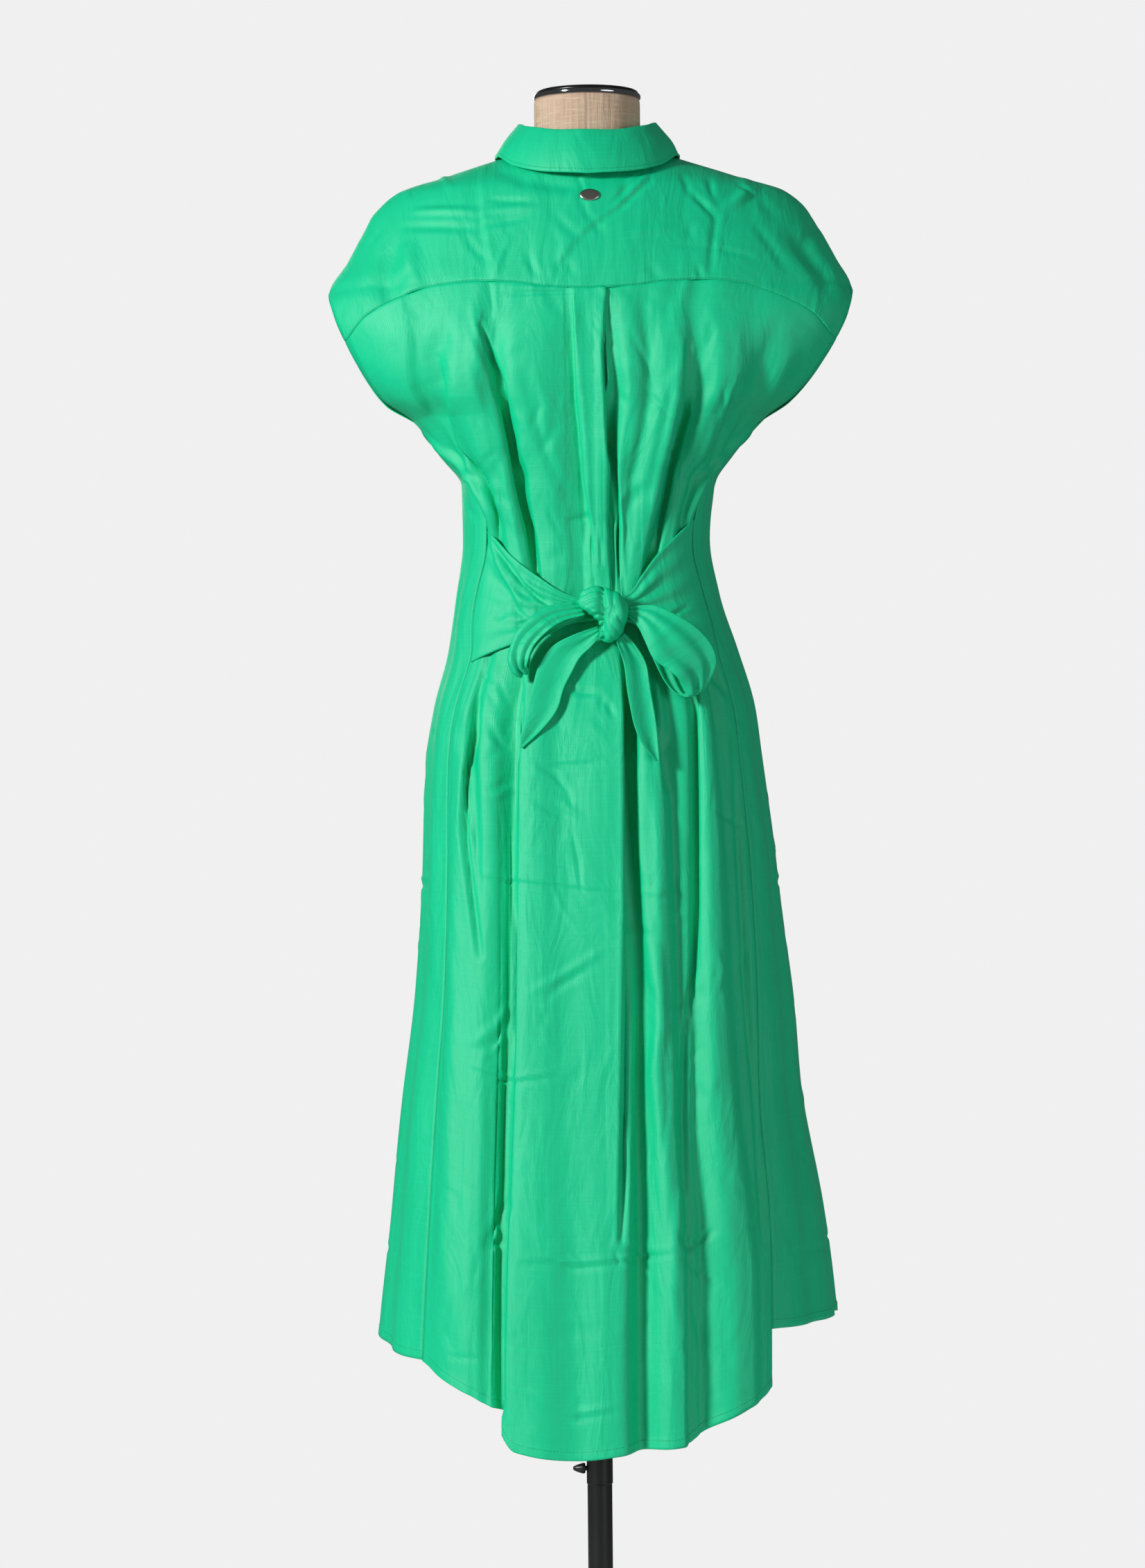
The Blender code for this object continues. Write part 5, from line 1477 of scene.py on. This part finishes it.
def collar():
    """Collar stand round the neckline, and the leaf that folds down over it."""
    turns = np.radians(np.linspace(-177, 177, 241))[::-1]
    seam = neckline(turns)
    fold = np.stack((67 * MM * np.sin(turns),
                     np.where(np.cos(turns) > 0, 64, 70) * MM * np.cos(turns),
                     smooth(np.abs(np.degrees(turns)), (0, 18, 55, 90, 180),
                            (1671, 1671.5, 1678, 1686, 1650)) * MM),
                    axis=-1)
    seam = seam * (0.98, 0.98, 1) + (0, 0, TOUCH + 0.3 * MM)
    rise = np.linspace(1, 0, 13)[:, None, None]
    stand = seam + (fold - seam) * rise
    cloth("collar_stand_cloth", stand, "collar_stand")
    edge_turn = turns * 150 / 177
    degrees = np.abs(np.degrees(turns))
    edge_x = 94 * MM * np.sin(edge_turn)
    edge_y = np.where(np.cos(edge_turn) > 0, 86, 97) * MM * np.cos(edge_turn)
    hang = smooth(degrees, (0, 30, 60, 90, 125, 177), (1627, 1630, 1639, 1653, 1630, 1582)) * MM
    shoulder = np.where(edge_y > 0, height_at(edge_x, edge_y, True),
                        height_at(edge_x, edge_y)) + 3.5 * MM
    edge = np.stack((edge_x, edge_y, np.maximum(hang, shoulder)), axis=-1)
    out = np.stack((np.sin(turns), np.cos(turns), np.zeros_like(turns)), axis=-1)
    roll = np.linspace(0, 1, 9)[:, None, None]
    reach = smooth(roll * 2, (0, 1, 2), (-0.8, 2.2, 4.6)) * MM
    climb = smooth(roll * 2, (0, 1, 2), (2.0, 2.6, 0.4)) * MM
    rolled = fold + out * reach + climb * np.array((0, 0, 1))
    part = np.linspace(0, 1, 25)[1:, None, None]
    below = rolled[-1] + (edge - rolled[-1]) * part + out * 3 * MM * np.sin(np.pi * part)
    leaf = np.concatenate((rolled, below))
    arc = from_edge(leaf, "left")
    far = from_edge(leaf, "bottom")
    height = swell(arc, far, 51, 60, 0.35) * ease(far / 5)
    for side in ("left", "right", "bottom"):
        near = from_edge(leaf, side)
        height += -0.35 * np.exp(-((near - 4.5) / 0.9) ** 2) - 0.5 * np.exp(-(near / 1.0) ** 2)
    leaf = raised(leaf, height)
    cloth("collar_leaf_cloth", leaf, "collar_leaf",
          thick=1.0)
    path, normal = line_in(leaf, "bottom", 4.5)
    stitches("collar_stitch", path, normal)


def nape_plate():
    """Plain oval plate on the yoke, flat against the cloth."""
    height, span = 1606 * MM, 6 * MM
    above, below = (on_body(0.0, height + s, True) for s in (span, -span))
    lean = math.atan2(below[1] - above[1], 2 * span)
    middle = on_body(-0.0015, height, True, TOUCH + 0.5 * MM)
    place = (Matrix.Translation(middle) @ Matrix.Rotation(-math.pi / 2 + lean, 4, "X")
             @ Matrix.Diagonal((1, 0.66, 1, 1)))
    turned("nape_plate", [(0, 1.6 * MM), (7 * MM, 1.55 * MM), (8.8 * MM, 1.35 * MM),
                          (9.6 * MM, 0.95 * MM), (10 * MM, 0.4 * MM), (10 * MM, 0), (0, 0)],
           NICKEL, "form", ("nape_stud",), steps=72, place=place)


# ---------------------------------------------------------------- the ties and the bow

def ties():
    """The two ties from the side seams to the knot."""
    for side, word, tie in ((1, "left", TIE_LEFT), (-1, "right", TIE_RIGHT)):
        grid = tie_grid(tie, side, 72, 84)
        if side < 0:
            grid = grid[:, ::-1]
        x, z = grid[..., 0] / MM, grid[..., 2] / MM
        height = creased(x, z, read_creases(TIE_CREASES)) + swell(x, z, 60 + side, 50, 0.3)
        far = np.minimum(from_edge(grid, "top"), from_edge(grid, "bottom"))
        height -= 0.8 * np.exp(-(far / 1.2) ** 2)
        grid = raised(grid, height)
        cloth(f"tie_cloth_{word}", grid, f"tie_panel_{word}",
              thick=1.2)


def bow():
    """The knot with its loops and hanging ends."""
    grid = knot_grid(36, 120)
    x, z = (grid[..., 0] - KNOT[0]) / MM, (grid[..., 2] - KNOT[2]) / MM
    out = grid - KNOT
    out /= np.linalg.norm(out, axis=-1, keepdims=True)
    wrap = 1 - ease((x - KNOT_CREASE / MM + 2) / 4)
    across = np.where(wrap > 0.5, (x - 0.45 * z + 0.012 * z * z) / 10.5,
                      (z - 0.5 * x + 0.02 * x * x) / 6.0)
    groove = (2 * np.abs(np.cos(np.pi * across)) ** 0.8 - 1.2) * (1.3 - 0.7 * wrap)
    groove = 1.3 * groove - 2.4 * np.exp(-((x - KNOT_CREASE / MM) / 1.7) ** 2)
    grid = grid + out * (MM * groove)[..., None] * (out[..., 1:2] > 0)
    knot = grid_object("knot_cloth", grid, DRESS, closed=True, caps=True)
    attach(knot, "form")
    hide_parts("bow_knot")
    for word, table_of, flip, flat, area in (("left", LOOP_LEFT, 1, (0.03, 0.19), 0.0045),
                                             ("right", LOOP_RIGHT, -1, (0.045, 0.2), 0.0075)):
        grid = loop_grid(table_of, 40, 130)[::flip]
        t, s = np.meshgrid(np.linspace(-1, 1, 41), np.linspace(0, 1, 131), indexing="ij")
        gathered = np.cos(2 * np.pi * (1.6 * t + 0.12 * np.sin(9 * s)))
        height = 0.8 * gathered * (1 - np.sin(np.pi * s) ** 0.6)
        height += swell(t * 18, s * 160, 70 + flip, 30, 0.5)
        height += 1.3 * np.exp(-((s - 0.5) / 0.15) ** 2) * swell(t * 20, s * 160, 74, 17, 1.0)
        height += 1.4 * np.sin(np.pi * s) * np.cos(2 * np.pi * (1.1 * t + 0.3 * np.sin(4 * s)))
        cloth(f"loop_cloth_{word}", raised(grid, height), f"bow_loop_{word}",
              thick=1.0)
    for side, word, tail in ((1, "left", TAIL_LEFT), (-1, "right", TAIL_RIGHT)):
        grid = tail_grid(tail, 100, 28)
        s, t = np.meshgrid(np.linspace(0, 1, 101), np.linspace(0, 1, 29), indexing="ij")
        height = swell(t * 26, s * 130, 80 + side, 40, 0.4)
        height += 0.7 * np.cos(2 * np.pi * 2.5 * t) * (1 - ease(s / 0.3))
        grid = raised(grid, height * ease((1 - s) / 0.1))
        cloth(f"tail_cloth_{word}", grid, f"tie_tail_{word}",
              thick=1.0)


# ---------------------------------------------------------------- the form and the stand

def form():
    """Linen torso with its neck stump, the ring and the cap."""
    heights = np.concatenate((np.linspace(FORM["height"][0], 1600, 40), np.linspace(1594, 940, 90)))
    half, back, before, square, roundness = (
        smooth(heights, FORM["height"], FORM[name])[:, None]
        for name in ("half", "back", "front", "square", "round"))
    angle = np.linspace(0, 2 * np.pi, 128, endpoint=False)
    depth = np.where(np.cos(angle) > 0, back, before)
    inset = 0.6 * ease((1676 - heights[:, None]) / 20)
    x = -(half - inset) * power(np.sin(angle), 2 / square)
    y = (depth - inset) * power(np.cos(angle), 2 * roundness)
    body = np.stack((x, y, np.broadcast_to(heights[:, None], x.shape)), axis=-1) * MM
    neck = []
    for z in np.linspace(FORM_NECK_TOP / MM, 1676, 12):
        inset = 0.8 * math.exp(-(FORM_NECK_TOP / MM - z) / 1.2)
        radius = FORM_NECK_RADIUS - inset * MM
        neck.append(np.stack((-radius * np.sin(angle), radius * np.cos(angle),
                              np.full_like(angle, z * MM)), axis=-1))
    grid = np.concatenate((np.array(neck), body))
    torso = grid_object("form_cover", grid, LINEN, closed=True, caps=True)
    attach(torso, "form")
    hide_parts("form_torso")
    low = FORM_NECK_TOP + TOUCH
    r = FORM_NECK_RADIUS + 0.8 * MM
    turned("chrome_ring", [(0, low + 5 * MM), (r - 1.6 * MM, low + 5 * MM),
                           (r - 0.7 * MM, low + 4.7 * MM), (r - 0.15 * MM, low + 3.8 * MM),
                           (r, low + 2.5 * MM), (r - 0.15 * MM, low + 1.2 * MM),
                           (r - 0.7 * MM, low + 0.3 * MM), (r - 1.6 * MM, low), (0, low)],
           CHROME, "form", ("neck_ring",), steps=144)
    low += 5 * MM + TOUCH
    cap = FORM_NECK_RADIUS - 1.5 * MM
    turned("black_cap", [(0, low + 6 * MM), (cap * 0.35, low + 5.8 * MM), (cap * 0.6, low + 5.2 * MM),
                         (cap * 0.82, low + 4.1 * MM), (cap - 2 * MM, low + 3 * MM),
                         (cap - 0.5 * MM, low + 2 * MM), (cap, low + 0.8 * MM), (cap, low), (0, low)],
           BLACK_ABS_AND_HOLE_SHADE, "form", ("neck_cap",), steps=144)


def stand():
    """Base plate, tube, clamp screw and pole."""
    r, thick = HUB_RADIUS, BASE_THICK
    turned("base_steel", [(0, HUB_TOP), (r - 7 * MM, HUB_TOP), (r - 6.2 * MM, HUB_TOP - 0.8 * MM),
                          (r - 3 * MM, thick + 14 * MM), (r, thick + 8 * MM),
                          (r + 1.2 * MM, thick + 3 * MM), (r + 4 * MM, thick),
                          (BASE_RADIUS - 1.5 * MM, thick), (BASE_RADIUS - 0.5 * MM, thick - 0.5 * MM),
                          (BASE_RADIUS, thick - 1.5 * MM), (BASE_RADIUS, 0.6 * MM),
                          (BASE_RADIUS - 0.6 * MM, 0), (0, 0)],
           POWDER, "stand", ("base_plate",), steps=160)
    low, stem = HUB_TOP + TOUCH, 2.5 * MM
    tube = turned("tube_steel", [(0, low + 6 * MM), (TUBE_BORE, low + 6 * MM),
                                 (TUBE_BORE, TUBE_TOP - 0.4 * MM), (TUBE_BORE + 0.4 * MM, TUBE_TOP),
                                 (COLLAR_RADIUS - 0.4 * MM, TUBE_TOP),
                                 (COLLAR_RADIUS, TUBE_TOP - 0.4 * MM), (COLLAR_RADIUS, COLLAR_LOW),
                                 (TUBE_RADIUS, COLLAR_LOW - 0.7 * MM), (TUBE_RADIUS, low), (0, low)],
                  POWDER, "stand", ("lower_tube",), steps=96)
    bore(tube, stem + TOUCH, Vector((TUBE_RADIUS, 0, CLAMP_HEIGHT)))
    wing = COLLAR_RADIUS + 1.2 * MM
    profile = [(0, 27), (1.2, 26.8), (2.2, 26), (3.2, 24), (4.3, 21), (5.2, 18), (5.5, 16.4),
               (5.2, 15.2), (4.4, wing / MM), (2.5, wing / MM)]
    turned("clamp_steel", [(a * MM, b * MM) for a, b in profile]
           + [(stem, POLE_RADIUS + TOUCH), (0, POLE_RADIUS + TOUCH)],
           POWDER, "clamp", ("clamp_screw",), steps=48,
           place=Matrix.Translation((0, 0, CLAMP_HEIGHT)) @ Matrix.Rotation(math.pi / 2, 4, "Y"))
    r = POLE_RADIUS
    turned("pole_steel", [(0, FORM_LOW - TOUCH), (41.2 * MM, FORM_LOW - TOUCH),
                          (42 * MM, FORM_LOW - 1 * MM), (42 * MM, FORM_LOW - 4.4 * MM),
                          (41.3 * MM, FORM_LOW - 5 * MM), (r + 5 * MM, FORM_LOW - 6.5 * MM),
                          (r + 1.6 * MM, FORM_LOW - 10 * MM), (r, FORM_LOW - 20 * MM),
                          (r, POLE_LOW + MM), (r - MM, POLE_LOW), (0, POLE_LOW)],
           POWDER, "form", ("form_pole",), steps=72)


def bore(solid, radius, middle):
    """A hole along X through one wall of a solid."""
    cutter = bpy.data.meshes.new("cutter")
    shape = bmesh.new()
    bmesh.ops.create_cone(shape, cap_ends=True, segments=48, radius1=radius, radius2=radius,
                          depth=10 * MM,
                          matrix=Matrix.Translation(middle) @ Matrix.Rotation(math.pi / 2, 4, "Y"))
    shape.to_mesh(cutter)
    shape.free()
    tool = bpy.data.objects.new("cutter", cutter)
    bpy.context.scene.collection.objects.link(tool)
    cut = solid.modifiers.new("hole", "BOOLEAN")
    cut.operation, cut.object = "DIFFERENCE", tool
    bpy.context.view_layer.update()
    found = solid.evaluated_get(bpy.context.evaluated_depsgraph_get())
    mesh = bpy.data.meshes.new_from_object(found)
    solid.modifiers.remove(cut)
    solid.data = mesh
    bpy.data.objects.remove(tool)


def studio():
    """Pale floor, a key light from the picture's left, two weaker lights and a pale surround."""
    mesh = bpy.data.meshes.new("floor")
    steps = np.linspace(0, 2 * np.pi, 96, endpoint=False)
    mesh.from_pydata([(1.28 * math.cos(a), 1.28 * math.sin(a), -0.0005) for a in steps], [],
                     [tuple(range(96))])
    floor = as_object("floor", mesh, FLOOR, smooth=False)
    for name, place, size, watts in (("key", (2.8, 2.5, 2.3), 0.7, 150),
                                     ("fill", (-2.9, 3.0, 1.3), 2.2, 34),
                                     ("front", (0.9, -4.2, 2.3), 2.4, 40)):
        lamp = bpy.data.lights.new(name, "AREA")
        lamp.shape, lamp.size, lamp.energy = "DISK", size, watts
        made = bpy.data.objects.new(name, lamp)
        made.location = place
        aim = Vector((0, 0.05, 1.05)) - Vector(place)
        made.rotation_euler = aim.to_track_quat("-Z", "Y").to_euler()
        bpy.context.scene.collection.objects.link(made)
    world = bpy.data.worlds.new("studio")
    bpy.context.scene.world = world
    world.use_nodes = True
    tree = world.node_tree
    background = tree.nodes["Background"]
    shown = tree.nodes.new("ShaderNodeLightPath")
    level = tree.nodes.new("ShaderNodeMix")
    level.data_type = "FLOAT"
    level.inputs[2].default_value, level.inputs[3].default_value = 0.19, 1.0
    tree.links.new(shown.outputs["Is Camera Ray"], level.inputs[0])
    mirrored = tree.nodes.new("ShaderNodeMix")      # the studio is dimmer in reflections
    mirrored.data_type = "FLOAT"
    mirrored.inputs[3].default_value = 0.10
    tree.links.new(shown.outputs["Is Glossy Ray"], mirrored.inputs[0])
    tree.links.new(level.outputs[0], mirrored.inputs[2])
    tree.links.new(mirrored.outputs[0], background.inputs["Strength"])
    background.inputs["Color"].default_value = linear("#F0F0F0")


def camera():
    """Camera 4.5 m behind the dress at hip height, leaned as the photograph is."""
    lens = bpy.data.cameras.new("camera")
    lens.lens, lens.sensor_width, lens.sensor_fit = 102.3, 36, "AUTO"
    lens.clip_end = 50
    made = bpy.data.objects.new("camera", lens)
    lean = math.radians(0.54)
    made.matrix_world = Matrix(((-math.cos(lean), -math.sin(lean), 0, 0.021),
                                (0, 0, 1, 4.5),
                                (-math.sin(lean), math.cos(lean), 0, 1.022),
                                (0, 0, 0, 1)))
    bpy.context.scene.collection.objects.link(made)
    bpy.context.scene.camera = made


camera()
studio()
back_yoke()
back_bodice()
back_skirt()
front(1)
front(-1)
front_edge()
collar()
nape_plate()
ties()
bow()
form()
stand()
bpy.context.scene.view_settings.view_transform = "Standard"
